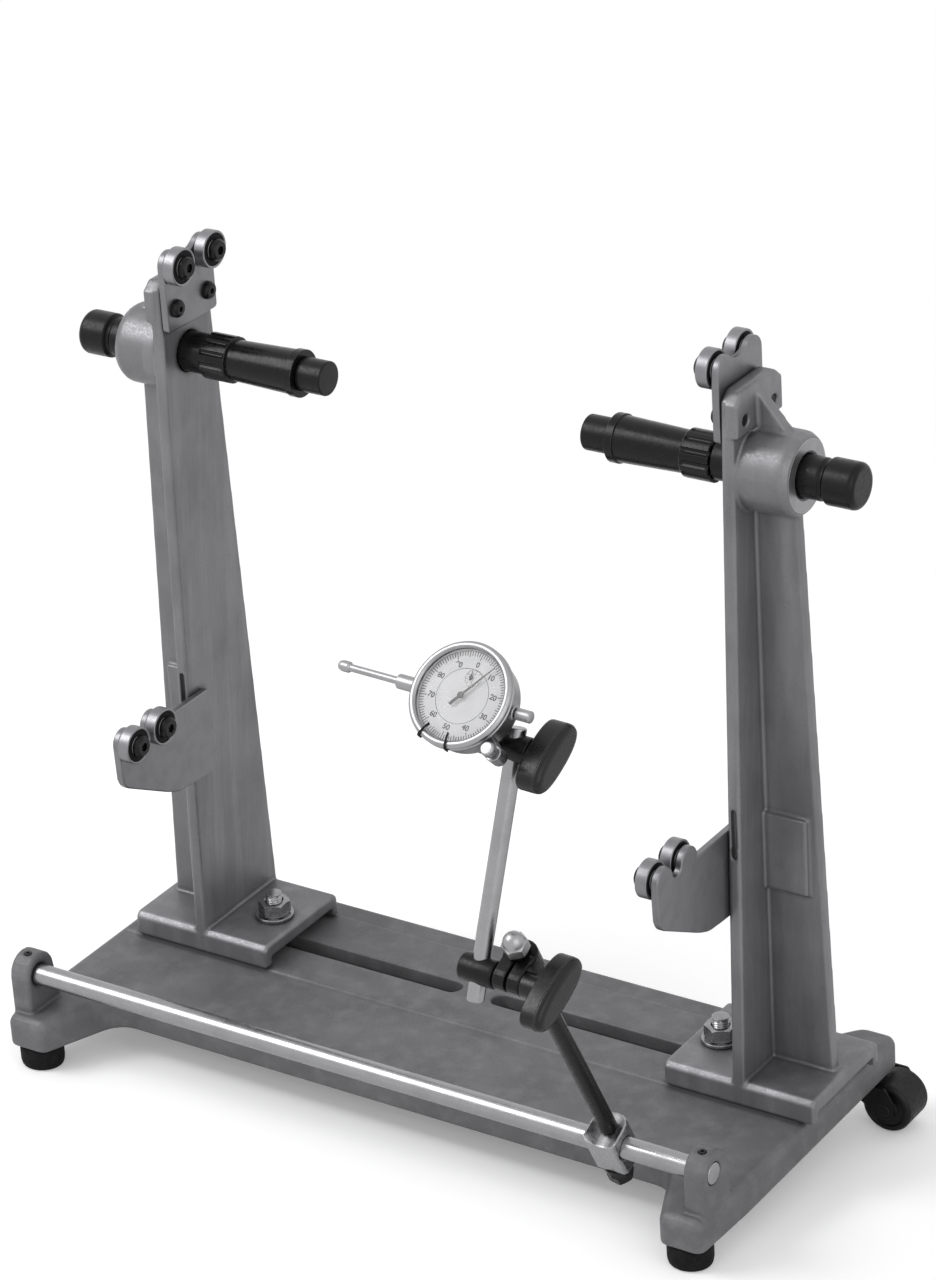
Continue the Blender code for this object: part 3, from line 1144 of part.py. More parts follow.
def make_plunger(stand):
    """Sprung spindle of the dial: contact tip, rod and rear cap."""
    frame = dial_frame() @ Matrix.Translation((0, 0, -STEM_DEPTH)) @ along((0, 0, 0), (1, 0, 0))
    tip = -PLUNGER_TIP
    neck = tip + TIP_LENGTH
    profile = [(0, tip), (0.0012, tip + 0.0003), (0.0020, tip + 0.0014), (TIP_RADIUS, tip + 0.0030),
               (TIP_RADIUS, neck - 0.001), (PLUNGER_RADIUS, neck), (PLUNGER_RADIUS, CAP_START),
               (CAP_RADIUS, CAP_START), (CAP_RADIUS, CAP_END - 0.0008), (CAP_RADIUS - 0.0008, CAP_END),
               (0, CAP_END)]
    finish_part(turned(profile, frame, 16), "plunger", "satin_chrome", stand, frame)


def lean_on_floor(stand):
    """Lean the stand until feet and wheels share the floor, and centre it over the origin."""
    stand.matrix_basis = Matrix.Rotation(math.atan(foot_drop_slope()), 4, "X")
    bpy.context.view_layer.update()
    points = []
    for piece in stand.children:
        points += [piece.matrix_world @ vertex.co for vertex in piece.data.vertices]
    low = Vector([min(point[axis] for point in points) for axis in range(3)])
    high = Vector([max(point[axis] for point in points) for axis in range(3)])
    stand.location = (-(low.x + high.x) / 2, -(low.y + high.y) / 2, -low.z)
    bpy.context.view_layer.update()


def main():
    """Clear the scene and build the stand."""
    for old in list(bpy.data.objects):
        bpy.data.objects.remove(old)
    stand = bpy.data.objects.new("stand", None)
    bpy.context.collection.objects.link(stand)
    make_base(stand)
    make_feet(stand)
    make_casters(stand)
    make_rail(stand)
    make_uprights(stand)
    make_foot_fasteners(stand)
    make_spindles(stand)
    make_brackets(stand)
    make_rollers(stand)
    make_bracket_screws(stand)
    make_rail_clamp(stand)
    make_arm(stand)
    make_lower_swivel(stand)
    make_post(stand)
    make_upper_swivel(stand)
    make_dial_case(stand)
    make_dial_rim(stand)
    make_hands(stand)
    make_plunger(stand)
    lean_on_floor(stand)


main()
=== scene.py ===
"""Looks of a wheel truing stand, laid out as an add-on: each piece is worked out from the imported
solids' places, gets the finish of the real one and rides on the body that carries it.

Lengths are metres. STAND is the frame of the leaning base: X along the front rail, Y to the rear.
"""

import json
import math

import bmesh
import bpy
import numpy as np
from mathutils import Matrix, Vector


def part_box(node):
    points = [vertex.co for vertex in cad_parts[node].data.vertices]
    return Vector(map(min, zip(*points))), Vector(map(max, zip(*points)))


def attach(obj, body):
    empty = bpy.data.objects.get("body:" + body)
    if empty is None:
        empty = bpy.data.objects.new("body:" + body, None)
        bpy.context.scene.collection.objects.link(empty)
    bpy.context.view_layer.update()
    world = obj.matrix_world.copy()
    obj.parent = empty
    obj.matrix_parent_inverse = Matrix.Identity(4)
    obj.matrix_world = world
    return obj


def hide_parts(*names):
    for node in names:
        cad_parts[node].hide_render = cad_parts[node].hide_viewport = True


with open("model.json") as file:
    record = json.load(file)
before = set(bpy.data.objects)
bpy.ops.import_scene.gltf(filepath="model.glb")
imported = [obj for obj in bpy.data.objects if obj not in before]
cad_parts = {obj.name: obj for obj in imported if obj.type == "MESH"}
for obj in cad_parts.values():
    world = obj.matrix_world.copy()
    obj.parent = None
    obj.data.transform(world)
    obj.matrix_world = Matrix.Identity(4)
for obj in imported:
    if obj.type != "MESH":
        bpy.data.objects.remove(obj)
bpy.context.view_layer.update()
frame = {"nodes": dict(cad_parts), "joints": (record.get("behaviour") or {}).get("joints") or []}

bl_info = {
    "name": "Wheel truing stand",
    "version": (1, 0, 0),
    "blender": (4, 5, 0),
    "location": "3D View > Sidebar > Truing stand",
    "description": "Builds the visible pieces of a wheel truing stand round its packed solids",
    "category": "Object",
}

JOINTS = {joint["name"]: joint for joint in frame["joints"]}
SIDES = {"left": -1.0, "right": 1.0}

# Room between neighbouring pieces
GAP = 0.0003
# Base and rail
RAIL_Y = -0.1071
RAIL_Z = 0.0549
RAIL_RADIUS = 0.00635
RAIL_HALF = 0.2362
EAR_MIDDLE = 0.2293
BASE_BOTTOM = 0.012
PLATE_UNDERSIDE = 0.0242
FOOT_X = 0.2223
FOOT_Y = -0.1124
FOOT_RADIUS = 0.0130
FOOT_HEIGHT = 0.0148
# Casters
PIN_HEAD_RADIUS = 0.0040
PLATE_RADIUS = 0.0095
WHEEL_RADIUS = 0.0155
WHEEL_HALF = 0.0120
CASTER_TRAIL = 0.0178
AXLE_DROP = 0.0166
# Uprights, from the inner face outwards
UPRIGHT_Y = 0.0251
BOSS_RADIUS = 0.0235
BOSS_REACH = 0.0378
SPINDLE_RADIUS = 0.0118
SPINDLE_CORE = 0.0076
SPINDLE_TIP = -0.0962
TIP_RADIUS = 0.0100
SPINDLE_SHOULDER = 0.0490
NECK_RADIUS = 0.0106
KNOB_START = 0.0525
KNOB_END = 0.0712
KNOB_RADIUS = 0.0130
KNOB_ROUND = 0.0036
SLEEVE_START = -0.0152
SLEEVE_END = -0.0792
SLEEVE_RADIUS = 0.0118
SLEEVE_END_RADIUS = 0.0130
SLEEVE_RING_RADIUS = 0.0138
FLUTE_END = -0.0322
FLUTE_RADIUS = 0.0136
FLUTE_DEPTH = 0.0012
STUD_RADIUS = 0.0050
SADDLE_TOP = 0.0485
NUT_FLATS = 0.0170
NUT_HEIGHT = 0.0084
WASHER_RADIUS = 0.0115
WASHER_THICKNESS = 0.0020
STUD_ABOVE_NUT = 0.0055
# Roller seats
BRACKET_THICKNESS = 0.0045
ROLLER_RADIUS = 0.0110
ROLLER_WIDTH = 0.0070
ROLLER_OFFSET = 0.0060
UPPER_ROLLER_HALF = 0.01485
UPPER_ROLLER_Z = 0.4690
LOWER_ROLLER_Z = 0.2053
LOWER_ROLLER_FRONT = -0.0723
LOWER_ROLLER_REAR = -0.0465
EAR_ROUND = 0.0085
UPPER_DIP = 0.0030
LOWER_DIP = -0.0026
SPACER_RADIUS = 0.0058
SCREW_HEAD_RADIUS = 0.0065
SCREW_HEAD_HEIGHT = 0.0038
SCREW_SOCKET = 0.0050
# Holder
SWIVEL_UP_ARM = 0.1690
BLOCK_FACE = -0.0168
ARM_RADIUS = 0.0050
ARM_START = 0.0095
ARM_END = 0.1860
POST_RADIUS = 0.00485
POST_BELOW = 0.1358
POST_ABOVE = 0.0110
POST_OFFSET = 0.0200
BARREL_RADIUS = 0.0078
KNOB_BOSS_RADIUS = 0.0070
OVAL_WIDTH = 0.0195
LOWER_KNOB = (0.0180, 0.0315, 0.0460)
UPPER_KNOB = (0.0120, 0.0270, 0.0432)
UPPER_KNOB_TURN = 46.6
LUG_PLACE = -0.0235
LUG_HALF = 0.0030
# Dial, from the rim's front face backwards
CASE_RADIUS = 0.0265
CASE_DEPTH = 0.0220
FACE_DEPTH = 0.0042
BEZEL_RADIUS = 0.0291
BEZEL_DEPTH = 0.0056
BEZEL_OPENING = 0.0248
STEM_DEPTH = 0.0100
LUG_BELOW = 0.0129
LUG_DEPTH = 0.0330
LOCK_ANGLE = -41.5
LOCK_ORBIT = 0.0350
HAND_ANGLE = 54.2
COUNTER_SPOT = (0.0012, 0.0106)
COUNTER_ANGLE = 40.0
CARD_RADIUS = 0.0257
# Dial print, from the middle outwards: radii of the marks' ends, the lines and the numbers
TEN_START = 0.0204
FIVE_START = 0.0212
ONE_START = 0.0219
MARK_END = 0.0243
MARK_WIDTH = 0.00044
INNER_LINE = 0.0150
OUTER_LINE = 0.0245
NUMBER_ORBIT = 0.0178
MARKER_ANGLES = (-118.0, -83.0)
# Camera, in the stand's frame: degrees, pixels of the picture and metres
CAMERA_ANGLES = (34.58, 26.26, -3.78)
CAMERA_FOCUS = 4501.37
PICTURE_HEIGHT = 1280
SENSOR = 36
CAMERA_TARGET = (0.02508, 0, 0.28067)
CAMERA_DISTANCE = 2.50177
# Lights: size and place; floor: half its width, and where it starts and ends to fade
LAMPS = {"key": (1.4, (-1.5, -1.3, 2.0)), "fill": (2.0, (2.0, -1.2, 1.2))}
LIT_POINT = (0, 0, 0.2)
FLOOR_HALF = 4
FADE_START = 0.6
FADE_END = 1.5


# ---- Frames ----

def place(joint):
    """Point that a hinge turns about."""
    return Vector(JOINTS[joint]["pos_m"])


def axis(joint):
    """Unit axis of a joint."""
    return Vector(JOINTS[joint]["axis"]).normalized()


def axes(origin, x_axis, z_axis):
    """Frame from an origin, an X axis and a Z axis; Y follows from them."""
    x_axis = (Vector(x_axis) - Vector(z_axis) * Vector(x_axis).dot(Vector(z_axis))).normalized()
    matrix = Matrix((x_axis, Vector(z_axis).cross(x_axis), Vector(z_axis))).transposed().to_4x4()
    matrix.translation = Vector(origin)
    return matrix


def stand_frame():
    """Frame of the leaning base, from the rail's hinge and the casters' upright pins."""
    matrix = axes((0, 0, 0), (1, 0, 0), axis("caster_swivel_left"))
    matrix.translation = place("holder_tilt") - matrix @ Vector((0, RAIL_Y, RAIL_Z))
    return matrix


STAND = stand_frame()
UP = STAND.to_3x3().col[2].copy()


def along(origin, direction):
    """Frame at a point whose Z runs along a direction."""
    turn = Vector((0, 0, 1)).rotation_difference(Vector(direction)).to_matrix().to_4x4()
    return Matrix.Translation(Vector(origin)) @ turn


def inner_face(side):
    """X of an upright's inner face in the stand's frame, from one of its rollers."""
    word = "right" if side > 0 else "left"
    return (STAND.inverted() @ place("upper_roller_turn_%s_front" % word)).x


def across(side, y, z):
    """Frame on an upright's inner face at a height, with Z outwards and Y up."""
    local = Matrix(((0, 0, side, inner_face(side)), (side, 0, 0, y), (0, 1, 0, z), (0, 0, 0, 1)))
    return STAND @ local


def middle_of(node):
    """Middle of a solid's box, in the stand's frame."""
    low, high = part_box(node)
    return STAND.inverted() @ ((low + high) / 2)


def rollers_of(word, side):
    """Level, spot and frame of each roller of an upright."""
    for level in ("upper", "lower"):
        for spot in ("front", "rear"):
            centre = STAND.inverted() @ place("%s_roller_turn_%s_%s" % (level, word, spot))
            yield level, spot, across(side, centre.y, centre.z)


def holder_frames():
    """Frames of the arm, the lower swivel, the post, the upper clamp and the dial."""
    swivel = axes(place("lower_knob_turn"), axis("lower_knob_turn"), axis("lower_clamp_turn"))
    arm = axes(place("holder_tilt"), (1, 0, 0), axis("lower_clamp_turn"))
    rise = axis("lower_clamp_turn")
    arm.translation = place("lower_clamp_turn") - rise * SWIVEL_UP_ARM
    grip = axes(place("upper_clamp_turn"), axis("upper_knob_turn"), axis("upper_clamp_turn"))
    post = axes(place("upper_clamp_turn"), axis("post_swing"), axis("post_slide"))
    dial = axes(place("bezel_turn"), axis("plunger_slide"), axis("bezel_turn"))
    return {"arm": arm, "swivel": swivel, "post": post, "grip": grip, "dial": dial}


HOLDER = holder_frames()


# ---- Shapes: (points, faces) pairs ----

def ring_faces(rows, columns, wrap_rows=False, wrap_columns=True):
    """Four-sided faces of a grid of points stored row by row."""
    row, column = np.meshgrid(np.arange(rows if wrap_rows else rows - 1),
                              np.arange(columns if wrap_columns else columns - 1), indexing="ij")
    next_row, next_column = (row + 1) % rows, (column + 1) % columns
    corners = [row * columns + column, row * columns + next_column,
               next_row * columns + next_column, next_row * columns + column]
    return np.stack(corners, -1).reshape(-1, 4).tolist()


def capped_faces(rows, columns):
    """Faces of a grid of closed rows, with the first and the last row filled in."""
    return [*ring_faces(rows, columns), list(range(columns))[::-1],
            list(range((rows - 1) * columns, rows * columns))]


def eased(corners, radius, steps=4, closed=True):
    """Line with its corners eased: from the point a radius before a corner to the point a radius
    after it runs (1-t)^2 before + 2t(1-t) corner + t^2 after, with t from 0 to 1."""
    corners = np.asarray(corners, float)
    back = np.roll(corners, 1, axis=0) - corners
    ahead = np.roll(corners, -1, axis=0) - corners
    back_length = np.linalg.norm(back, axis=1)
    ahead_length = np.linalg.norm(ahead, axis=1)
    reach = np.minimum(np.minimum(radius, 0.48 * back_length), 0.48 * ahead_length)
    if not closed:
        reach[[0, -1]] = 0.0
    first = corners + back * (reach / np.maximum(back_length, 1e-9))[:, None]
    last = corners + ahead * (reach / np.maximum(ahead_length, 1e-9))[:, None]
    share = np.linspace(0, 1, steps + 1)[None, :, None]
    points = ((1 - share) ** 2 * first[:, None] + 2 * share * (1 - share) * corners[:, None]
              + share ** 2 * last[:, None]).reshape(-1, corners.shape[1])
    keep = np.linalg.norm(points - np.roll(points, 1, axis=0), axis=1) > 1e-7
    if not closed:
        keep[0] = True
    return points[keep]


def arc(centre, radius, start, end, steps):
    """Points on an arc, angles in degrees."""
    angle = np.radians(np.linspace(start, end, steps + 1))
    return np.stack([centre[0] + radius * np.cos(angle), centre[1] + radius * np.sin(angle)], -1)


def lathe(profile, sides=64, ripple=None):
    """Profile of (radius, height) points turned about Z: a point is at radius times the cosine
    and sine of the angle. ripple(radius, height, angle) may change both arrays."""
    profile = np.asarray(profile, float)
    angle = np.linspace(0, 2 * np.pi, sides, endpoint=False)[None, :]
    radius = profile[:, :1] + 0 * angle
    height = profile[:, 1:] + 0 * angle
    if ripple is not None:
        radius, height = ripple(radius, height, angle)
    points = np.stack([radius * np.cos(angle), radius * np.sin(angle), height], -1)
    ring = profile[0, 0] > 1e-6 and profile[-1, 0] > 1e-6
    return points.reshape(-1, 3), ring_faces(len(profile), sides, wrap_rows=ring)


def spun(profile, edge=0.0004, sides=64, ripple=None, steps=3):
    """Lathe whose profile has its corners eased first."""
    ring = profile[0][0] > 1e-6 and profile[-1][0] > 1e-6
    return lathe(eased(profile, edge, steps, closed=ring), sides, ripple)


def round_bar(radius, low, high, edge, sides):
    """Round bar between two heights."""
    return spun([(0, low), (radius, low), (radius, high), (0, high)], edge, sides)


def pipe(bore, radius, low, high, edge, sides):
    """Round pipe between two heights."""
    return spun([(bore, low), (radius, low), (radius, high), (bore, high)], edge, sides)


def slab(outline, low, high, edge=0.0006, steps=3, order="XYZ"):
    """Closed plate: the outline at each level between low and high, moved inwards by the edge
    round times 1 minus the sine of an angle that runs from 0 to 90 degrees at each face."""
    outline = np.asarray(outline, float)
    following = np.roll(outline, -1, axis=0)
    if np.sum(outline[:, 0] * following[:, 1] - following[:, 0] * outline[:, 1]) < 0:
        outline = outline[::-1]
    ahead = np.roll(outline, -1, axis=0) - outline
    ahead /= np.linalg.norm(ahead, axis=1)[:, None]
    back = np.roll(ahead, 1, axis=0)
    inward = np.stack([-back[:, 1] - ahead[:, 1], back[:, 0] + ahead[:, 0]], -1)
    inward /= np.maximum(np.linalg.norm(inward, axis=1), 1e-9)[:, None]
    lean = np.maximum(0.5, -back[:, 1] * inward[:, 0] + back[:, 0] * inward[:, 1])
    inward /= lean[:, None]
    angle = np.linspace(0, np.pi / 2, steps + 1)
    shift = np.concatenate([edge * (1 - np.sin(angle)), edge * (1 - np.sin(angle[::-1]))])
    level = np.concatenate([low + edge * (1 - np.cos(angle)), high - edge * (1 - np.cos(angle[::-1]))])
    rings = outline[None] + inward[None] * shift[:, None, None]
    columns = {"X": rings[..., 0], "Y": rings[..., 1], "Z": level[:, None] + 0 * rings[..., 0]}
    points = np.stack([columns[letter] for letter in order], -1).reshape(-1, 3)
    return points, capped_faces(len(level), len(outline))


def ringed(rows, angle):
    """Points of rows of (radius, height), each of them one number or one for every angle."""
    radius = np.stack([row[0] + 0 * angle for row in rows])
    height = np.stack([row[1] + 0 * angle for row in rows])
    return np.stack([radius * np.cos(angle), radius * np.sin(angle), height], -1).reshape(-1, 3)


def hexagon(flats, angle):
    """Radius of a hexagon: half the flats over the cosine of the angle to the nearest flat."""
    return flats / 2 / np.cos((angle + np.pi / 6) % (np.pi / 3) - np.pi / 6)


def hex_nut(flats, low, high, bore, sides=96, dome=()):
    """Nut with turned corners: a hexagon cut by a 30 degree cone at both ends. dome adds
    (radius, height) rows on top."""
    angle = np.linspace(0, 2 * np.pi, sides, endpoint=False)
    side = hexagon(flats, angle)
    start = flats / 2 * 0.97
    drop = np.clip((side - start) * math.tan(math.radians(30)), 0, None)
    rows = [(bore, low), (start, low), (side, low + drop), (side, high - drop), (start, high)]
    rows += list(dome) if len(dome) else [(bore + 0.0006, high), (bore, high - 0.0006)]
    return ringed(rows, angle), ring_faces(len(rows), sides, wrap_rows=not len(dome))


def screw_head(radius, height, socket, start=0.0, sides=48):
    """Round head with a six-sided socket: a dome of the given height with a well in it."""
    angle = np.linspace(0, 2 * np.pi, sides, endpoint=False)
    well = hexagon(socket, angle)
    turn = np.radians(np.linspace(0, 62, 7))
    rim = socket * 0.72
    rows = [(0, start), (radius, start), (radius, start + height * 0.25)]
    rows += [(rim + (radius - rim) * math.cos(step), start + height * (0.25 + 0.75 * math.sin(step)
             / math.sin(turn[-1]))) for step in turn[1:]]
    rows += [(well, start + height), (well, start + height * 0.35), (0, start + height * 0.3)]
    return ringed(rows, angle), ring_faces(len(rows), sides)


def swept(path, section):
    """Section of (side, up) points carried along a path: each point is the path's point plus side
    times the sideways direction, plus up times the upright one, both square to the path."""
    path = np.asarray(path, float)
    heading = np.gradient(path, axis=0)
    heading /= np.linalg.norm(heading, axis=1)[:, None]
    sideways = np.cross(np.cross(heading[0], heading[-1]) + np.array([0, 0, 1e-6]), heading)
    upwards = np.cross(heading, sideways / np.linalg.norm(sideways, axis=1)[:, None])
    upwards /= np.linalg.norm(upwards, axis=1)[:, None]
    sideways = np.cross(upwards, heading)
    section = np.asarray(section, float)
    points = (path[:, None] + sideways[:, None] * section[None, :, :1]
              + upwards[:, None] * section[None, :, 1:])
    return points.reshape(-1, 3), capped_faces(len(path), len(section))


def moved(shape, matrix):
    """Shape taken through a frame."""
    turn = np.array(matrix, float)
    return shape[0] @ turn[:3, :3].T + turn[:3, 3], shape[1]


def joined(*shapes):
    """Several shapes as one."""
    points = np.concatenate([shape[0] for shape in shapes])
    faces = []
    start = 0
    for shape in shapes:
        faces += [[corner + start for corner in face] for face in shape[1]]
        start += len(shape[0])
    return points, faces


def mesh_of(name, shape):
    """Blender mesh of a shape, with doubles merged and its faces turned outwards."""
    mesh = bpy.data.meshes.new(name)
    mesh.from_pydata(shape[0].tolist(), [], shape[1])
    bm = bmesh.new()
    bm.from_mesh(mesh)
    bmesh.ops.remove_doubles(bm, verts=bm.verts, dist=1e-7)
    bmesh.ops.dissolve_degenerate(bm, edges=bm.edges, dist=1e-7)
    bmesh.ops.recalc_face_normals(bm, faces=bm.faces)
    bm.to_mesh(mesh)
    bm.free()
    return mesh


def linked(name, data):
    """Object in the scene for a mesh, a curve, a light or a camera."""
    item = bpy.data.objects.new(name, data)
    bpy.context.scene.collection.objects.link(item)
    return item


def applied(work):
    """Mesh of an object with its modifiers applied; the object itself goes."""
    bpy.context.view_layer.update()
    ready = work.evaluated_get(bpy.context.evaluated_depsgraph_get())
    mesh = bpy.data.meshes.new_from_object(ready)
    bpy.data.objects.remove(work)
    return mesh


def dressed(name, mesh, finish, body, nodes=(), slot=None, sharp=34.0, weighted=True):
    """Show a mesh as a piece: smooth it up to an angle, give it the finish of that name, hang it
    on its body and let it stand for its nodes. The slot argument is not used."""
    mesh.name = name
    mesh.materials.clear()
    mesh.materials.append(finish_of(finish))
    mesh.shade_smooth()
    mesh.set_sharp_from_angle(angle=math.radians(sharp))
    piece = linked(name, mesh)
    if weighted:
        modifier = piece.modifiers.new("even_shading", "WEIGHTED_NORMAL")
        modifier.keep_sharp = True
    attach(piece, body)
    if nodes:
        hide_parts(*nodes)
    slot = finish if slot is None else slot
    return piece


def made(name, shape, finish, body, nodes=(), slot=None, **looks):
    """Piece straight from a shape in world coordinates."""
    return dressed(name, mesh_of(name, shape), finish, body, nodes, slot, **looks)


def softened(node, home, voxel, passes, extra=(), share=0.5):
    """Mesh of a solid with every edge and inner corner rounded, as a casting's are: its merged
    copy and any finer shapes become one skin of even cells, which is smoothed and thinned out."""
    bm = bmesh.new()
    bm.from_mesh(frame["nodes"][node].data)
    bmesh.ops.remove_doubles(bm, verts=bm.verts, dist=1e-6)
    bm.transform(home.inverted())
    mesh = bpy.data.meshes.new(node + "_copy")
    bm.to_mesh(mesh)
    bm.free()
    for shape in extra:
        addition = mesh_of("addition", shape)
        bm = bmesh.new()
        bm.from_mesh(mesh)
        bm.from_mesh(addition)
        bm.to_mesh(mesh)
        bm.free()
    work = linked(node + "_work", mesh)
    skin = work.modifiers.new("skin", "REMESH")
    skin.mode = "VOXEL"
    skin.voxel_size = voxel
    soften = work.modifiers.new("soften", "SMOOTH")
    soften.factor = 0.5
    soften.iterations = passes
    thin = work.modifiers.new("thin", "DECIMATE")
    thin.ratio = share
    result = applied(work)
    result.transform(home)
    return result


def bored(name, solid, cutter):
    """Mesh of a shape with another cut out of it."""
    work = linked(name, mesh_of(name, solid))
    tool = linked("cutter", mesh_of("cutter", cutter))
    cut = work.modifiers.new("cut", "BOOLEAN")
    cut.object = tool
    cut.operation = "DIFFERENCE"
    cut.solver = "EXACT"
    mesh = applied(work)
    bpy.data.objects.remove(tool)
    return mesh


# ---- Finishes ----

def linear(code):
    """Linear colour of an sRGB hex code."""
    values = [int(code[start:start + 2], 16) / 255 for start in (1, 3, 5)]
    return [value / 12.92 if value <= 0.04045 else ((value + 0.055) / 1.055) ** 2.4
            for value in values] + [1.0]


def add_node(tree, kind, inputs=None, **settings):
    """Add a node; inputs that are sockets are linked, others are set."""
    node = tree.nodes.new(kind)
    for key, value in settings.items():
        setattr(node, key, value)
    for key, value in (inputs or {}).items():
        if isinstance(value, bpy.types.NodeSocket):
            tree.links.new(value, node.inputs[key])
        else:
            node.inputs[key].default_value = value
    return node


def per_mm(size):
    """Scale of a pattern whose features are so many millimetres apart."""
    return 1000.0 / size


class Finish:
    """Material under construction, with its shader and object coordinates. Pattern sizes and
    depths are millimetres."""

    def __init__(self, name, colour, metallic, roughness, specular=0.5):
        self.material = bpy.data.materials.new(name + "_finish")
        self.material.use_nodes = True
        self.tree = self.material.node_tree
        self.shader = self.tree.nodes["Principled BSDF"]
        self.shader.inputs["Base Color"].default_value = colour
        self.shader.inputs["Metallic"].default_value = metallic
        self.shader.inputs["Roughness"].default_value = roughness
        self.shader.inputs["Specular IOR Level"].default_value = specular
        self.colour = colour
        self.place = add_node(self.tree, "ShaderNodeTexCoord").outputs["Object"]
        self.tone = None
        self.normal = None

    def noise(self, size, detail, stretch=(1, 1, 1)):
        """Cloudy pattern of a size in mm, drawn out along axes where stretch is small."""
        place = self.place
        if stretch != (1, 1, 1):
            place = add_node(self.tree, "ShaderNodeMapping",
                             {"Vector": place, "Scale": stretch}).outputs[0]
        node = add_node(self.tree, "ShaderNodeTexNoise",
                        {"Vector": place, "Scale": per_mm(size), "Detail": detail})
        return node.outputs["Fac"]

    def ramp(self, factor, low, high, from_value, to_value):
        """Numbers from low to high of a pattern, spread between two values."""
        node = add_node(self.tree, "ShaderNodeMapRange",
                        {"Value": factor, "From Min": low, "From Max": high,
                         "To Min": from_value, "To Max": to_value})
        return node.outputs["Result"]

    def tint(self, factor, colour):
        """Mix another colour in where the factor is high."""
        below = self.colour if self.tone is None else self.tone
        node = add_node(self.tree, "ShaderNodeMix", {0: factor, 6: below, 7: colour}, data_type="RGBA")
        self.tone = node.outputs[2]
        self.tree.links.new(self.tone, self.shader.inputs["Base Color"])

    def cloud(self, size, detail, low, high, share, factor):
        """Shade the colour by a factor, up to a share, where a cloudy pattern is high."""
        self.tint(self.ramp(self.noise(size, detail), low, high, 0.0, share), shade(self.colour, factor))

    def roughen(self, factor, low, high, least, most):
        """Let the roughness follow a pattern."""
        rough = self.ramp(factor, low, high, least, most)
        self.tree.links.new(rough, self.shader.inputs["Roughness"])

    def smudges(self, size, detail, least, most):
        """Let the roughness follow a cloudy pattern."""
        self.roughen(self.noise(size, detail), 0.35, 0.7, least, most)

    def relief(self, factor, depth, strength):
        """Raise the surface by a depth in mm where the factor is high."""
        inputs = {"Height": factor, "Distance": depth / 1000.0, "Strength": strength}
        if self.normal is not None:
            inputs["Normal"] = self.normal
        self.normal = add_node(self.tree, "ShaderNodeBump", inputs).outputs["Normal"]
        self.tree.links.new(self.normal, self.shader.inputs["Normal"])

    def grain(self, size, detail, depth, strength=0.5):
        """Raise the surface by a cloudy pattern."""
        self.relief(self.noise(size, detail), depth, strength)

    def edges(self, radius):
        """1 along outer edges and 0 on flats: how far the rounded normal leans off the true one. The
        finishes use it for paler edges, partly rubbed wear and partly a painted highlight.
        """
        soft = add_node(self.tree, "ShaderNodeBevel", {"Radius": radius / 1000.0}, samples=4)
        true = add_node(self.tree, "ShaderNodeNewGeometry").outputs["Normal"]
        dot = add_node(self.tree, "ShaderNodeVectorMath", {0: soft.outputs[0], 1: true},
                       operation="DOT_PRODUCT")
        return self.ramp(dot.outputs["Value"], 0.995, 0.86, 0.0, 1.0)

    def corners(self, reach):
        """1 deep in inner corners and 0 in the open, from how much is shut in within a reach in mm: the
        mask for painted shade in inner corners.
        """
        shut = add_node(self.tree, "ShaderNodeAmbientOcclusion", {"Distance": reach / 1000.0}, samples=6)
        return self.ramp(shut.outputs["AO"], 0.97, 0.70, 0.0, 1.0)


def shade(colour, factor):
    """Colour made lighter or darker by a factor."""
    return [min(1.0, value * factor) for value in colour[:3]] + [1.0]


def picked(name):
    """Colour that the panel holds, as a shader takes it."""
    return [*getattr(bpy.context.scene.stand_colours, name), 1.0]


# Sizes of patterns are real millimetres. Grinding and turning lines, moulding grain and satin
# blasting are finer than 0.1 mm on the real stand and are drawn coarser here, at 0.28 to 0.6 mm,
# because finer ones would be lost between the pixels.

def cast_aluminium(name="cast_aluminium", lift=1.12, stroke=(1, 1, 1), metallic=0.4, least=0.46):
    """Sand-cast aluminium with brushed flats: a fine pebbled grain, cloudy grey tone, brush lines
    in the gloss, slightly paler edges that are partly rubbed wear and partly a painted highlight, and
    painted shade darkening the inner corners."""
    # Painted light: the lift makes lighter and darker copies of the one casting colour, 1.12 for the base
    # and 1.50 for the uprights, for how the light falls on each.
    base = shade(picked("casting"), lift)
    finish = Finish(name, base, metallic, 0.5, 0.3)
    finish.cloud(38, 4.0, 0.40, 0.66, 0.6, 0.70)
    streak = finish.noise(11, 4.0, stretch=stroke)
    finish.tint(finish.ramp(streak, 0.46, 0.72, 0.0, 0.55), shade(base, 1.35))
    finish.cloud(1.6, 3.0, 0.60, 0.74, 0.45, 0.62)
    # Painted highlight mixed with real rubbed wear: every outer edge is made paler, up to half way to 1.45
    # times the colour.
    finish.tint(finish.ramp(finish.edges(0.9), 0.2, 1.0, 0.0, 0.5), shade(base, 1.45))
    # Painted shade: inner corners are darkened towards 0.45 of the colour, deepest where the surroundings
    # shut them in.
    finish.tint(finish.ramp(finish.corners(4.0), 0.0, 1.0, 0.0, 0.8), shade(base, 0.45))
    brushed = finish.noise(0.9, 2.0, stretch=stroke)
    finish.roughen(brushed, 0.35, 0.65, least, least + 0.18)
    finish.grain(0.75, 4.0, 0.05)
    finish.relief(brushed, 0.015, 0.5)
    return finish.material


def ground_steel():
    """Ground and plated rod: bright, with fine grinding marks and faint smudges."""
    finish = Finish("ground_steel", picked("bright_steel"), 1.0, 0.16)
    finish.cloud(14, 3.0, 0.45, 0.7, 0.35, 0.72)
    finish.smudges(5, 3.0, 0.22, 0.34)
    finish.grain(0.35, 2.0, 0.002)
    return finish.material


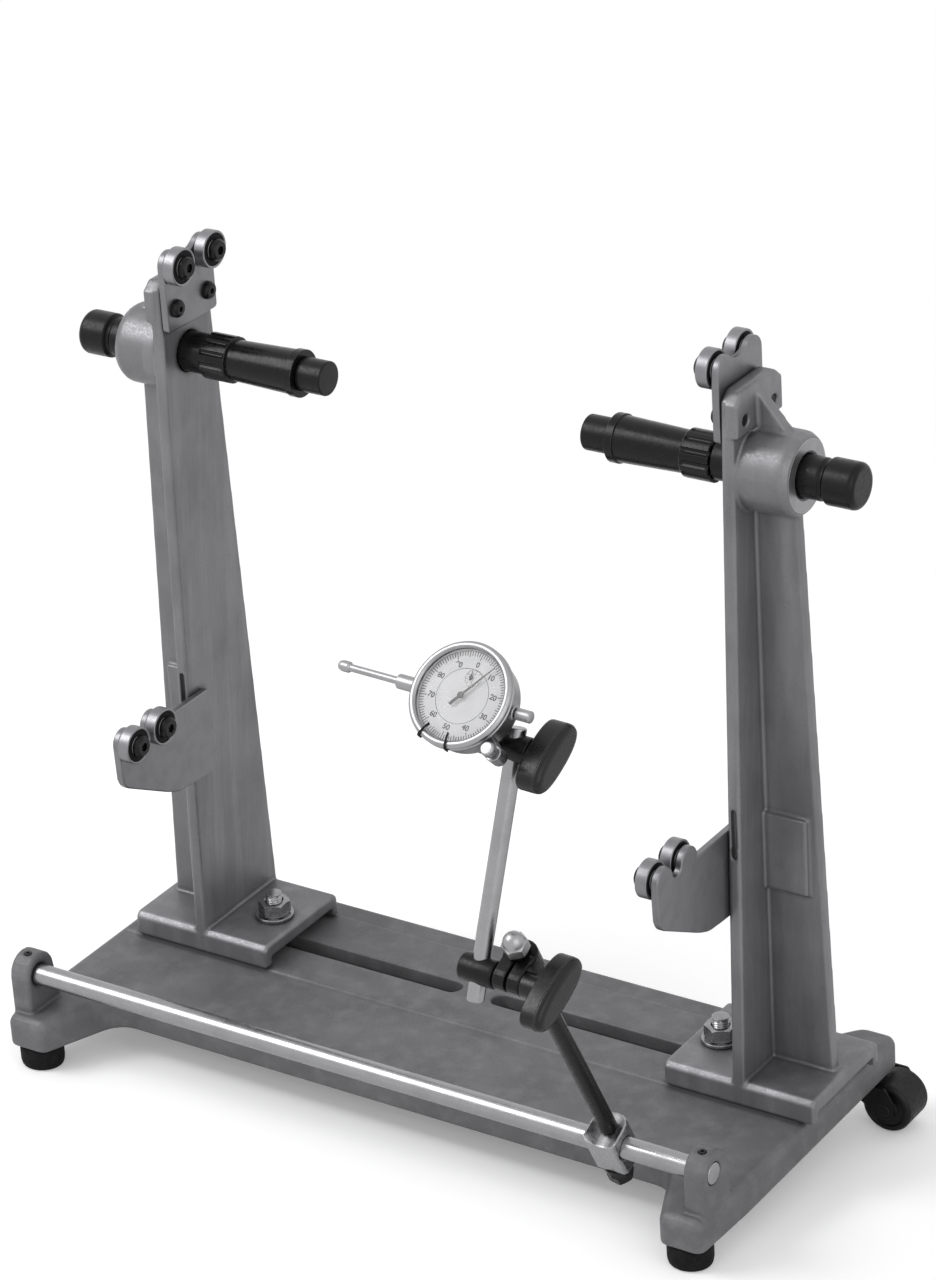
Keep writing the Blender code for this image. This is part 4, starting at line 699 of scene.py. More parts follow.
def bearing_steel(name="bearing_steel", colour="satin_steel"):
    """Fine-ground bearing ring or seat plate: satin, with grinding marks and bright edges, partly polished
    wear and partly a painted highlight.
    """
    base = picked(colour)
    finish = Finish(name, base, 0.9, 0.36)
    lines = finish.noise(0.6, 2.0)
    finish.cloud(9, 3.0, 0.45, 0.7, 0.4, 0.7)
    # Painted highlight mixed with real polish: every outer edge is brightened towards 1.7 times the
    # colour.
    finish.tint(finish.edges(0.6), shade(base, 1.7))
    finish.roughen(lines, 0.3, 0.7, 0.30, 0.46)
    finish.relief(lines, 0.006, 0.5)
    return finish.material


def plated_steel():
    """Zinc-plated steel: a soft grey shine with cloudy spangle and paler edges, partly worn plating and
    partly a painted highlight.
    """
    base = picked("plated_steel")
    finish = Finish("plated_steel", base, 1.0, 0.30)
    finish.cloud(3.5, 4.0, 0.42, 0.66, 0.5, 0.62)
    # Painted highlight mixed with real wear: every outer edge is made paler, towards 1.4 times the colour.
    finish.tint(finish.edges(0.8), shade(base, 1.4))
    finish.smudges(1.4, 3.0, 0.20, 0.42)
    finish.grain(0.5, 3.0, 0.006, 0.4)
    return finish.material


def black_oxide(name="black_oxide", least=0.26, most=0.44):
    """Blackened machined steel: near black with an oily sheen, turning lines and grey edges all
    round, partly rubbed wear and partly a painted highlight."""
    finish = Finish(name, picked("blackened"), 0.3, 0.35, 0.28)
    finish.cloud(6, 4.0, 0.5, 0.75, 0.35, 2.0)
    # Painted highlight mixed with real rubbed wear: every outer edge is tinted grey.
    finish.tint(finish.ramp(finish.edges(0.5), 0.25, 1.0, 0.0, 0.55), linear("#5c5c5e"))
    finish.smudges(2.2, 3.0, least, most)
    finish.grain(0.4, 3.0, 0.005, 0.4)
    return finish.material


def black_plastic():
    """Moulded black plastic: grain that breaks up the shine, dust in it and paler edges, partly rubbed
    wear and partly a painted highlight.
    """
    finish = Finish("black_plastic", picked("moulded"), 0.0, 0.42, 0.35)
    finish.cloud(7, 4.0, 0.52, 0.78, 0.4, 2.0)
    # Painted highlight mixed with real rubbed wear: every outer edge is tinted grey.
    finish.tint(finish.ramp(finish.edges(0.6), 0.2, 0.9, 0.0, 0.6), linear("#5a5a5c"))
    finish.smudges(1.2, 3.0, 0.24, 0.38)
    finish.grain(0.28, 2.0, 0.02)
    return finish.material


def grey_plastic():
    """Hard caster wheel: dark moulded plastic, scuffed paler where it rolls."""
    finish = Finish("grey_plastic", picked("caster"), 0.0, 0.45, 0.25)
    finish.cloud(4, 5.0, 0.5, 0.72, 0.5, 2.0)
    finish.smudges(2.0, 3.0, 0.36, 0.6)
    finish.grain(0.6, 3.0, 0.03)
    return finish.material


def rubber(name="rubber"):
    """Moulded rubber: matt black with a bloom of grey dust."""
    finish = Finish(name, picked("rubber"), 0.0, 0.78, 0.2)
    finish.cloud(5, 5.0, 0.48, 0.75, 0.5, 2.0)
    finish.smudges(3.0, 2.0, 0.68, 0.88)
    finish.grain(0.5, 3.0, 0.05, 0.6)
    return finish.material


def satin_chrome(name="satin_chrome", least=0.30, most=0.44):
    """Satin-plated metal of the dial and fittings: a soft bright shine with faint handling marks."""
    finish = Finish(name, picked("dial_metal"), 1.0, 0.22)
    finish.cloud(6, 4.0, 0.48, 0.72, 0.35, 0.72)
    finish.smudges(2.5, 3.0, least, most)
    finish.grain(0.3, 2.0, 0.003, 0.4)
    return finish.material


def dial_paint():
    """Matt off-white enamel of the dial's face, with the faintest mottle."""
    finish = Finish("dial_paint", picked("dial_face"), 0.0, 0.5)
    finish.cloud(5, 3.0, 0.4, 0.7, 0.3, 0.9)
    finish.smudges(1.0, 2.0, 0.45, 0.6)
    return finish.material


def dial_ink():
    """Black print of the dial: thin, slightly uneven ink."""
    finish = Finish("dial_ink", linear("#141415"), 0.0, 0.5)
    finish.tint(finish.ramp(finish.noise(0.5, 2.0), 0.5, 0.8, 0.0, 0.5), linear("#3a3a3b"))
    finish.smudges(0.8, 2.0, 0.42, 0.6)
    return finish.material


def crystal_glass():
    """Clear dial crystal: a thin lens that lets the face through, with a smudged shine on it."""
    finish = Finish("crystal", linear("#f2f2f2"), 0.0, 0.08)
    finish.smudges(9, 3.0, 0.05, 0.16)
    haze = finish.ramp(finish.noise(14, 3.0), 0.4, 0.7, 0.03, 0.09)
    finish.tree.links.new(haze, finish.shader.inputs["Alpha"])
    return finish.material


MAKERS = {
    "cast_aluminium": cast_aluminium, "ground_steel": ground_steel, "bearing_steel": bearing_steel,
    "plated_steel": plated_steel, "black_oxide": black_oxide, "black_plastic": black_plastic,
    "grey_plastic": grey_plastic, "rubber": rubber, "satin_chrome": satin_chrome,
    "dial_paint": dial_paint, "dial_ink": dial_ink, "crystal": crystal_glass,
    "polished_casting": lambda: satin_chrome("polished_casting", 0.24, 0.4),
    "oiled_black": lambda: black_oxide("oiled_black", 0.18, 0.34),
    # The uprights' copy of the casting colour is painted lighter (lift 1.50) for the light they catch;
    # their vertical brush lines, metallic and gloss are their real finish.
    "upright_casting": lambda: cast_aluminium("upright_casting", 1.50, (1, 1, 0.06), 0.65, 0.34),
    "seat_steel": lambda: bearing_steel("seat_steel", "seat_plate"),
    "turned_face": lambda: bearing_steel("turned_face", "plated_steel"),
    "seal_rubber": lambda: rubber("seal_rubber"),
}


FINISHES = {}


def finish_of(name):
    """Finish by its name, made once."""
    if name not in FINISHES:
        FINISHES[name] = MAKERS[name]()
    return FINISHES[name]


# ---- User settings ----

def length_setting(name, what, default, least, most):
    """Setting of a small length."""
    return bpy.props.FloatProperty(name=name, description=what, default=default, min=least, max=most,
                                   unit="LENGTH", precision=4)


def colour_setting(name, what, code):
    """Setting of a colour, given as an sRGB hex code."""
    return bpy.props.FloatVectorProperty(name=name, description="Colour of the " + what, subtype="COLOR",
                                         default=linear(code)[:3], min=0, max=1)


def level_setting(name, what, default, most, **kind):
    """Setting of a strength of light."""
    return bpy.props.FloatProperty(name=name, description=what, default=default, min=0, max=most, **kind)


class StandCastings(bpy.types.PropertyGroup):
    """How softly the castings' edges are rounded."""
    cell: length_setting("Cell", "Cell of the castings' skin: a larger one rounds more", 0.0009, 0.0008,
                         0.004)
    passes: bpy.props.IntProperty(name="Passes", description="Smoothing passes over the skin", default=4,
                                  min=1, max=30)


class StandFittings(bpy.types.PropertyGroup):
    """Small details of the screws, nuts and rollers."""
    thread_pitch: length_setting("Thread pitch", "Pitch of the foot studs' thread", 0.0015, 0.0005, 0.003)
    shield_recess: length_setting("Shield recess", "Depth of a roller's shield", 0.0006, 0.0001, 0.0015)
    knob_groove: length_setting("Knob groove", "Depth of the line round an oval knob", 0.0004, 0.0, 0.001)


class StandDial(bpy.types.PropertyGroup):
    """Print on the dial's face."""
    divisions: bpy.props.IntProperty(name="Divisions", description="Marks round the dial", default=100,
                                     min=20, max=200)
    numeral: length_setting("Numeral", "Height of the numbers", 0.0041, 0.001, 0.006)
    turn: bpy.props.FloatProperty(name="Turn", description="Angle that the scale is turned by",
                                  default=math.radians(-7), subtype="ANGLE")


class StandColours(bpy.types.PropertyGroup):
    """Colours of the finishes."""
    casting: colour_setting("Casting", "castings", "#68686a")
    bright_steel: colour_setting("Bright steel", "ground rods", "#9c9c9e")
    satin_steel: colour_setting("Satin steel", "rollers", "#88888b")
    seat_plate: colour_setting("Seat plates", "roller seats", "#808083")
    plated_steel: colour_setting("Plated steel", "fasteners", "#98989a")
    blackened: colour_setting("Blackened steel", "black steel", "#121213")
    moulded: colour_setting("Knobs", "black knobs", "#0b0b0c")
    caster: colour_setting("Casters", "caster wheels", "#101011")
    rubber: colour_setting("Rubber", "feet", "#0d0d0e")
    dial_metal: colour_setting("Dial metal", "dial's metal", "#a0a0a2")
    dial_face: colour_setting("Dial face", "dial's face", "#c2c2c4")


class StandStage(bpy.types.PropertyGroup):
    """Light and floor."""
    key: level_setting("Key light", "Power of the main soft light", 34.0, 500, subtype="POWER")
    fill: level_setting("Fill light", "Power of the weaker soft light", 12.0, 500, subtype="POWER")
    sky: level_setting("Sky", "Level of the even light from all round", 0.70, 2)
    glow: level_setting("Floor", "How much paler the floor looks to the camera", 0.20, 1)


# ---- Castings ----

class STAND_OT_base(bpy.types.Operator):
    """Softened base casting with the set screws that hold the rail"""
    bl_idname = "stand.base"
    bl_label = "Base casting"

    def execute(self, context):
        look = context.scene.stand_castings
        mesh = softened("base_casting", STAND, look.cell, look.passes, share=0.22)
        dressed("base_casting_skin", mesh, "cast_aluminium", "base", ["base_casting"], sharp=60,
                weighted=False)
        screws = []
        for side in SIDES.values():
            seat = STAND @ Matrix.Translation((side * EAR_MIDDLE, RAIL_Y, RAIL_Z + 0.0112))
            screws.append(moved(screw_head(0.0023, 0.0012, 0.0022), seat))
        made("rail_set_screws", joined(*screws), "black_oxide", "base")
        return {"FINISHED"}


class STAND_OT_uprights(bpy.types.Operator):
    """Softened uprights, each with a finely turned boss"""
    bl_idname = "stand.uprights"
    bl_label = "Uprights"

    def execute(self, context):
        look = context.scene.stand_castings
        for word, side in SIDES.items():
            centre = middle_of("spindle_" + word)
            bore = SPINDLE_RADIUS + GAP
            boss = lathe(eased([(bore, 0.004), (BOSS_RADIUS + 0.0001, 0.004),
                                (BOSS_RADIUS + 0.0001, BOSS_REACH - 0.0045),
                                (BOSS_RADIUS - 0.0030, BOSS_REACH), (bore, BOSS_REACH)], 0.002), 128)
            local = STAND.inverted() @ across(side, centre.y, centre.z)
            mesh = softened("upright_" + word, STAND, look.cell, look.passes, [moved(boss, local)], 0.4)
            dressed("upright_skin_" + word, mesh, "upright_casting", "upright_" + word,
                    ["upright_" + word], slot="cast_aluminium", sharp=60, weighted=False)
            ring = pipe(bore + 0.0016, BOSS_RADIUS - 0.0034, BOSS_REACH - 0.0006, BOSS_REACH + 0.0001,
                        0.0001, 128)
            made("boss_face_" + word, moved(ring, across(side, centre.y, centre.z)), "turned_face",
                 "upright_" + word, slot="cast_aluminium")
        return {"FINISHED"}


# ---- Rods ----

class STAND_OT_rods(bpy.types.Operator):
    """Rail, post and leaning arm as turned bars with chamfered ends"""
    bl_idname = "stand.rods"
    bl_label = "Rail, post and arm"

    def execute(self, context):
        rail = round_bar(RAIL_RADIUS, -RAIL_HALF, RAIL_HALF, 0.0009, 72)
        made("rail_bar", moved(rail, along(place("holder_tilt"), axis("holder_tilt"))), "ground_steel",
             "rail", ["rail_rod"])
        post = round_bar(POST_RADIUS, -POST_BELOW, POST_ABOVE, 0.0010, 64)
        made("post_bar", moved(post, HOLDER["post"]), "ground_steel", "post", ["post_rod"])
        neck = ARM_RADIUS - 0.0012
        arm = spun([(0, ARM_START), (ARM_RADIUS, ARM_START), (ARM_RADIUS, ARM_END - 0.0063),
                    (neck, ARM_END - 0.0063), (neck, ARM_END + 0.002), (0, ARM_END + 0.002)], 0.0005, 64)
        made("arm_bar", moved(arm, HOLDER["arm"]), "black_oxide", "holder", ["arm_rod"])
        turn = np.radians(np.linspace(4, 90, 10))
        dome = [(0.0060 * math.cos(step), ARM_END + GAP + 0.0060 * math.sin(step)) for step in turn]
        nut = hex_nut(0.0130, ARM_END - 0.0060, ARM_END, neck + GAP,
                      dome=[(0.00625, ARM_END + 0.0001), *dome[:-1], (0, dome[-1][1])])
        made("acorn_nut_dome", moved(nut, HOLDER["arm"]), "satin_chrome", "holder", ["acorn_nut"])
        return {"FINISHED"}


# ---- Feet and casters ----

class STAND_OT_feet(bpy.types.Operator):
    """Rubber feet, cut off parallel to the floor"""
    bl_idname = "stand.feet"
    bl_label = "Rubber feet"

    def execute(self, context):
        slope = math.tan(math.acos(max(-1.0, min(1.0, UP.z))))
        for word, side in SIDES.items():
            profile = eased([(0, 0.0), (FOOT_RADIUS * 0.90, 0.0), (FOOT_RADIUS, -0.0022),
                             (FOOT_RADIUS, -FOOT_HEIGHT + 0.0045),
                             (FOOT_RADIUS * 0.95, -FOOT_HEIGHT + 0.0016),
                             (FOOT_RADIUS * 0.84, -FOOT_HEIGHT), (FOOT_RADIUS * 0.45, -FOOT_HEIGHT),
                             (FOOT_RADIUS * 0.40, -FOOT_HEIGHT + 0.003),
                             (0, -FOOT_HEIGHT + 0.003)], 0.0014, 4, closed=False)
            points, faces = lathe(profile, 64)
            low = np.clip((-points[:, 2] - FOOT_HEIGHT * 0.5) / (FOOT_HEIGHT * 0.5), 0, 1)
            points[:, 2] -= slope * points[:, 1] * low
            seat = STAND @ Matrix.Translation((side * FOOT_X, FOOT_Y, BASE_BOTTOM - GAP))
            made("foot_pad_" + word, moved((points, faces), seat), "rubber", "base",
                 ["rubber_foot_" + word])
        return {"FINISHED"}


class STAND_OT_casters(bpy.types.Operator):
    """Corner casters: pinned plate, bent fork and broad wheel with a hub and a tread"""
    bl_idname = "stand.casters"
    bl_label = "Casters"

    def execute(self, context):
        plate_top = BASE_BOTTOM - GAP
        crown_top = plate_top - 0.0021
        crown_low = crown_top - 0.0019
        inner = WHEEL_HALF + 0.0006
        outer = inner + 0.0020
        for word, side in SIDES.items():
            pin = STAND.inverted() @ place("caster_swivel_" + word)
            home = STAND @ Matrix.Translation((pin.x, pin.y, 0))
            plate = pipe(0.0031, PLATE_RADIUS, plate_top, plate_top - 0.0015, 0.0004, 48)
            head = spun([(0, plate_top + 0.010), (0.0030, plate_top + 0.010), (0.0030, crown_low - GAP),
                         (PIN_HEAD_RADIUS, crown_low - GAP), (PIN_HEAD_RADIUS, crown_low - 0.0016),
                         (0, crown_low - 0.0016)], 0.0005, 48)
            made("caster_mount_" + word, moved(joined(plate, head), home), "plated_steel", "base",
                 ["caster_plate_" + word])
            reach = side * CASTER_TRAIL
            axle_z = BASE_BOTTOM - AXLE_DROP
            cheek = [(-0.0085, crown_top), (-0.0085, crown_low - 0.002),
                     *arc((CASTER_TRAIL, axle_z), 0.0062, 235, 360, 8).tolist(),
                     (CASTER_TRAIL + 0.0062, crown_top - 0.008), (CASTER_TRAIL + 0.001, crown_top)]
            cheek = eased([(side * x, z) for x, z in cheek], 0.0012, 3)
            crown = eased([(-0.0083 * side, -outer + 0.0006), (0.0052 * side, -outer + 0.0006),
                           (0.0052 * side, outer - 0.0006), (-0.0083 * side, outer - 0.0006)], 0.0015, 4)
            axle = spun([(0, -outer - 0.0004), (0.0034, -outer - 0.0004), (0.0034, -outer + 0.0002),
                         (0.0025, -outer + 0.0002), (0.0025, outer - 0.0002), (0.0034, outer - 0.0002),
                         (0.0034, outer + 0.0004), (0, outer + 0.0004)], 0.0003, 40)
            fork = joined(slab(cheek, inner, outer, 0.0005, order="XZY"),
                          slab(cheek, -outer, -inner, 0.0005, order="XZY"),
                          slab(crown, crown_low, crown_top - 0.0002, 0.0005),
                          moved(axle, along((reach, 0, axle_z), (0, 1, 0))))
            made("caster_yoke_" + word, moved(fork, home), "black_oxide", "caster_fork_" + word,
                 ["caster_fork_" + word])
            tread = WHEEL_RADIUS - 0.0001
            half = WHEEL_HALF
            wheel = spun([(0.0028, -half), (0.0060, -half), (0.0064, -half + 0.0012),
                          (0.0112, -half + 0.0012), (0.0116, -half), (tread - 0.0016, -half),
                          (tread, -half + 0.0018), (tread, half - 0.0018), (tread - 0.0016, half),
                          (0.0116, half), (0.0112, half - 0.0012), (0.0064, half - 0.0012),
                          (0.0060, half), (0.0028, half)], 0.0008, 96)
            made("caster_roller_" + word,
                 moved(wheel, along(place("caster_roll_" + word), axis("caster_roll_" + word))),
                 "grey_plastic", "caster_wheel_" + word, ["caster_wheel_" + word])
        return {"FINISHED"}


# ---- Foot fasteners ----

def threaded(radius, low, high, pitch, depth):
    """Threaded bar: its radius drops by the depth times a triangle wave of height over pitch
    minus the angle's share of a turn, and fades out over the last pitch."""
    rows = int((high - low) / pitch * 8)
    height = np.linspace(low, high, rows)
    profile = [(0, low), *[(radius, value) for value in height], (radius - 0.0009, high + 0.0006),
               (0, high + 0.0006)]

    def groove(spread, level, angle):
        phase = (level / pitch - angle / (2 * np.pi)) % 1.0
        wave = 1 - np.abs(2 * phase - 1)
        body = (spread > radius - 1e-6) * np.clip((high - level) / pitch, 0, 1)
        return spread - depth * wave * body, level
    return lathe(profile, 48, groove)


class STAND_OT_fasteners(bpy.types.Operator):
    """Foot studs with a real thread, their nuts and washers"""
    bl_idname = "stand.fasteners"
    bl_label = "Foot studs and nuts"

    def execute(self, context):
        pitch = context.scene.stand_fittings.thread_pitch
        nut_low = SADDLE_TOP + GAP + WASHER_THICKNESS
        nut_top = nut_low + NUT_HEIGHT
        for word in SIDES:
            seat = STAND.inverted() @ place("clamp_nut_turn_" + word)
            home = STAND @ Matrix.Translation((seat.x, seat.y, 0))
            head_top = PLATE_UNDERSIDE - GAP
            head = slab(eased([(-0.0085, -0.0085), (0.0085, -0.0085), (0.0085, 0.0085), (-0.0085, 0.0085)],
                              0.0012), head_top - 0.0070, head_top, 0.0008)
            bar = threaded(STUD_RADIUS, head_top - 0.002, nut_top + STUD_ABOVE_NUT - 0.0006, pitch, 0.0007)
            made("foot_stud_" + word, moved(joined(head, bar), home), "plated_steel", "upright_" + word,
                 ["clamp_stud_" + word], sharp=50)
            washer = pipe(STUD_RADIUS + GAP, WASHER_RADIUS, nut_low - WASHER_THICKNESS, nut_low,
                          0.0004, 64)
            nut = joined(hex_nut(NUT_FLATS, nut_low, nut_top, STUD_RADIUS + GAP), washer)
            made("foot_nut_" + word, moved(nut, home), "plated_steel", "clamp_nut_" + word,
                 ["clamp_nut_" + word])
        return {"FINISHED"}


# ---- Spindles ----

def flutes(start, end, count, depth):
    """Ripple that cuts round flutes between two heights, deepest at count angles."""
    def ripple(radius, height, angle):
        inside = np.clip(np.minimum(height - start, end - height) / 0.0006 + 0.5, 0, 1)
        wave = np.clip(np.cos(angle * count), 0, 1) ** 0.6
        return radius - depth * wave * inside * (radius > 0.011), height
    return ripple


class STAND_OT_spindles(bpy.types.Operator):
    """Spindles with their knobs, and the fluted centring sleeves on them"""
    bl_idname = "stand.spindles"
    bl_label = "Spindles and sleeves"

    def execute(self, context):
        for word, side in SIDES.items():
            centre = middle_of("spindle_" + word)
            home = across(side, centre.y, centre.z)
            tip_start = SLEEVE_END - GAP
            core_end = SLEEVE_START + GAP
            bar = spun([(0, SPINDLE_TIP), (TIP_RADIUS, SPINDLE_TIP), (TIP_RADIUS, tip_start),
                        (SPINDLE_CORE, tip_start), (SPINDLE_CORE, core_end), (SPINDLE_RADIUS, core_end),
                        (SPINDLE_RADIUS, SPINDLE_SHOULDER), (NECK_RADIUS, SPINDLE_SHOULDER + 0.0009),
                        (NECK_RADIUS, KNOB_START - 0.0009), (KNOB_RADIUS - 0.0008, KNOB_START),
                        (KNOB_RADIUS, KNOB_START + 0.0007),
                        *arc((KNOB_RADIUS - KNOB_ROUND, KNOB_END - KNOB_ROUND), KNOB_ROUND, 0, 90,
                             8).tolist(),
                        (0, KNOB_END)], 0.0009, 96)
            made("spindle_bar_" + word, moved(bar, home), "black_oxide", "spindle_" + word,
                 ["spindle_" + word])
            bore = SPINDLE_CORE + GAP
            crest = [(FLUTE_RADIUS, height)
                     for height in np.linspace(SLEEVE_START - 0.0006, FLUTE_END - 0.0002, 14)]
            ring = SLEEVE_RING_RADIUS
            sleeve = [(bore, SLEEVE_START), (FLUTE_RADIUS - 0.0005, SLEEVE_START), *crest,
                      (FLUTE_RADIUS - 0.0004, FLUTE_END - 0.0007), (SLEEVE_RADIUS, FLUTE_END - 0.0010),
                      (SLEEVE_END_RADIUS, SLEEVE_END + 0.0051), (ring - 0.0003, SLEEVE_END + 0.0050),
                      (ring, SLEEVE_END + 0.0047), (ring, SLEEVE_END + GAP),
                      (ring - 0.0003, SLEEVE_END), (bore, SLEEVE_END)]
            shape = lathe(sleeve, 144, flutes(FLUTE_END, -0.0150, 12, FLUTE_DEPTH))
            made("sleeve_" + word, moved(shape, home), "oiled_black", "spindle_" + word,
                 ["centring_sleeve_" + word], slot="black_oxide")
        return {"FINISHED"}


# ---- Roller seats ----

def ear_pair(half, dip, first, last):
    """Two round ears at plus and minus half, and the valley that touches both: its radius r comes
    from half^2 + (r + dip)^2 = (ear + r)^2, with the dip measured from the rollers' line."""
    valley = (half ** 2 + dip ** 2 - EAR_ROUND ** 2) / (2 * (EAR_ROUND - dip))
    lean = math.degrees(math.atan2(valley + dip, half))
    return np.concatenate([arc((half, 0), EAR_ROUND, first, 180 - lean, 22),
                           arc((0, valley + dip), valley, -lean, lean - 180, 18)[1:-1],
                           arc((-half, 0), EAR_ROUND, lean, last, 22)])


def upper_seat():
    """Outline of the upper seat, in (y, z)."""
    half = UPPER_ROLLER_HALF + EAR_ROUND
    low = eased([(-half, -0.020), (-half, -0.039), (half, -0.039), (half, -0.020)], 0.003, 5, closed=False)
    ears = ear_pair(UPPER_ROLLER_HALF, UPPER_DIP, 0, 180)
    return np.concatenate([low, ears]) + (UPRIGHT_Y, UPPER_ROLLER_Z)


def lower_seat():
    """Outline of the lower seat, which reaches forward of the web, in (y, z)."""
    edge = [(-0.0800, 0.1840), (-0.0785, 0.1800), (-0.0760, 0.1772), (-0.0385, 0.1565),
            (-0.0285, 0.1525), (-0.0100, 0.1510), (0.0040, 0.1505), (0.0090, 0.1550),
            (0.0090, 0.2005), (0.0060, 0.2037)]
    middle = (LOWER_ROLLER_FRONT + LOWER_ROLLER_REAR) / 2
    half = (LOWER_ROLLER_REAR - LOWER_ROLLER_FRONT) / 2
    return np.concatenate([eased(edge, 0.0040, 4, closed=False),
                           ear_pair(half, LOWER_DIP, -10, 180) + (middle, LOWER_ROLLER_Z)])


class STAND_OT_seats(bpy.types.Operator):
    """Roller seats: rounded plates with a spacer behind each roller"""
    bl_idname = "stand.seats"
    bl_label = "Roller seats"

    def execute(self, context):
        for word, side in SIDES.items():
            home = across(side, 0, 0)
            for level, outline in (("upper", upper_seat()), ("lower", lower_seat())):
                outline = outline * np.array([side, 1.0])
                parts = [slab(outline, -GAP - BRACKET_THICKNESS, -GAP, 0.0009)]
                spacer = round_bar(SPACER_RADIUS, -0.002, -ROLLER_OFFSET + GAP, 0.0004, 48)
                for spot in ("front", "rear"):
                    centre = STAND.inverted() @ place("%s_roller_turn_%s_%s" % (level, word, spot))
                    parts.append(moved(spacer, Matrix.Translation((centre.y * side, centre.z, 0))))
                made("%s_seat_%s" % (level, word), moved(joined(*parts), home), "seat_steel",
                     "upright_" + word, ["%s_bracket_%s" % (level, word)], slot="bearing_steel")
        return {"FINISHED"}


class STAND_OT_rollers(bpy.types.Operator):
    """Ball bearing rollers: outer ring, sunk shield and inner ring"""
    bl_idname = "stand.rollers"
    bl_label = "Rollers"

    def execute(self, context):
        sunk = context.scene.stand_fittings.shield_recess
        start = -ROLLER_OFFSET
        end = start - ROLLER_WIDTH
        bore = 0.0043
        profile = [(bore, start), (0.0060, start), (0.0062, start - sunk - 0.0004),
                   (0.0094, start - sunk - 0.0004), (0.0096, start), (ROLLER_RADIUS, start),
                   (ROLLER_RADIUS, end), (0.0096, end), (0.0094, end + sunk + 0.0004),
                   (0.0062, end + sunk + 0.0004), (0.0060, end), (bore, end)]
        shape = spun(profile, 0.0006, 96)
        seals = [pipe(0.0063, 0.0093, level - 0.0003, level + 0.0003, 0.0002, 72)
                 for level in (start - sunk, end + sunk)]
        for word, side in SIDES.items():
            for level, spot, home in rollers_of(word, side):
                name = "%s_roller_%s_%s" % (level, word, spot)
                made("bearing_" + name, moved(shape, home), "bearing_steel", name, [name])
                made("seals_" + name, moved(joined(*seals), home), "seal_rubber", name, slot="rubber")
        return {"FINISHED"}


class STAND_OT_screws(bpy.types.Operator):
    """Socket screws through the rollers and the upper seats"""
    bl_idname = "stand.screws"
    bl_label = "Seat and roller screws"

    def execute(self, context):
        for word, side in SIDES.items():
            for level, spot, home in rollers_of(word, side):
                start = ROLLER_OFFSET + ROLLER_WIDTH + GAP
                shape = joined(screw_head(SCREW_HEAD_RADIUS, SCREW_HEAD_HEIGHT, SCREW_SOCKET, start),
                               round_bar(0.0040, 0.0008, start + 0.0005, 0.0003, 40))
                made("socket_%s_%s_%s" % (level, word, spot),
                     moved(shape, home @ Matrix.Rotation(math.pi, 4, "Y")), "black_oxide",
                     "upright_" + word, ["%s_roller_screw_%s_%s" % (level, word, spot)])
            for spot in ("front", "rear"):
                centre = middle_of("bracket_screw_%s_%s" % (word, spot))
                home = across(side, centre.y, centre.z) @ Matrix.Rotation(math.pi, 4, "Y")
                start = BRACKET_THICKNESS + 0.0006
                shank = round_bar(0.0030, -0.0098, start + 0.0005, 0.0006, 32)
                shape = joined(screw_head(0.0053, 0.0033, 0.0032, start), shank)
                made("seat_screw_%s_%s" % (word, spot), moved(shape, home), "black_oxide",
                     "upright_" + word, ["bracket_screw_%s_%s" % (word, spot)])
        return {"FINISHED"}


# ---- Rail clamp and swivels ----

class STAND_OT_rail_clamp(bpy.types.Operator):
    """Scooped clamp block on the rail with its bolt and jam nut"""
    bl_idname = "stand.rail_clamp"
    bl_label = "Rail clamp"

    def execute(self, context):
        mesh = softened("rail_clamp", HOLDER["arm"], 0.0006, 4, share=0.5)
        dressed("rail_clamp_skin", mesh, "polished_casting", "holder", ["rail_clamp"],
                slot="plated_steel", sharp=60, weighted=False)
        seat = HOLDER["arm"] @ Matrix.Translation((0, rail_depth() - 0.0025, 0))
        nut_top = BLOCK_FACE - GAP
        nut = hex_nut(0.0138, nut_top - 0.0050, nut_top, 0.0)
        head_top = nut_top - 0.0048
        head = hex_nut(0.0130, head_top - 0.0066, head_top, 0.0)
        shank = round_bar(0.0040, head_top - 0.001, -0.0070, 0.0003, 40)
        shape = joined(nut, shank, moved(head, Matrix.Rotation(math.radians(20), 4, "Z")))
        made("rail_clamp_bolt", moved(shape, seat), "black_oxide", "holder", ["clamp_bolt"])
        return {"FINISHED"}


def rail_depth():
    """Y of the rail's line in the arm's frame."""
    arm = HOLDER["arm"]
    return (arm.inverted() @ Vector((arm.translation.x, *place("holder_tilt")[1:]))).y


def oval(long_way, width, rows):
    """Oval knob about X: y is the half length times the 0.85th power of the cosine, z the half
    width times that of the sine, both with their signs; each row (x, share) insets it."""
    angle = np.linspace(0, 2 * np.pi, 96, endpoint=False)[None, :]
    rows = np.asarray(rows, float)
    share = rows[:, 1:]
    y = np.sign(np.cos(angle)) * np.abs(np.cos(angle)) ** 0.85 * (long_way / 2 - width / 2 * (1 - share))
    z = np.sign(np.sin(angle)) * np.abs(np.sin(angle)) ** 0.85 * width / 2 * share
    points = np.stack([rows[:, :1] + 0 * y, y, z], -1).reshape(-1, 3)
    return points, capped_faces(len(rows), 96)


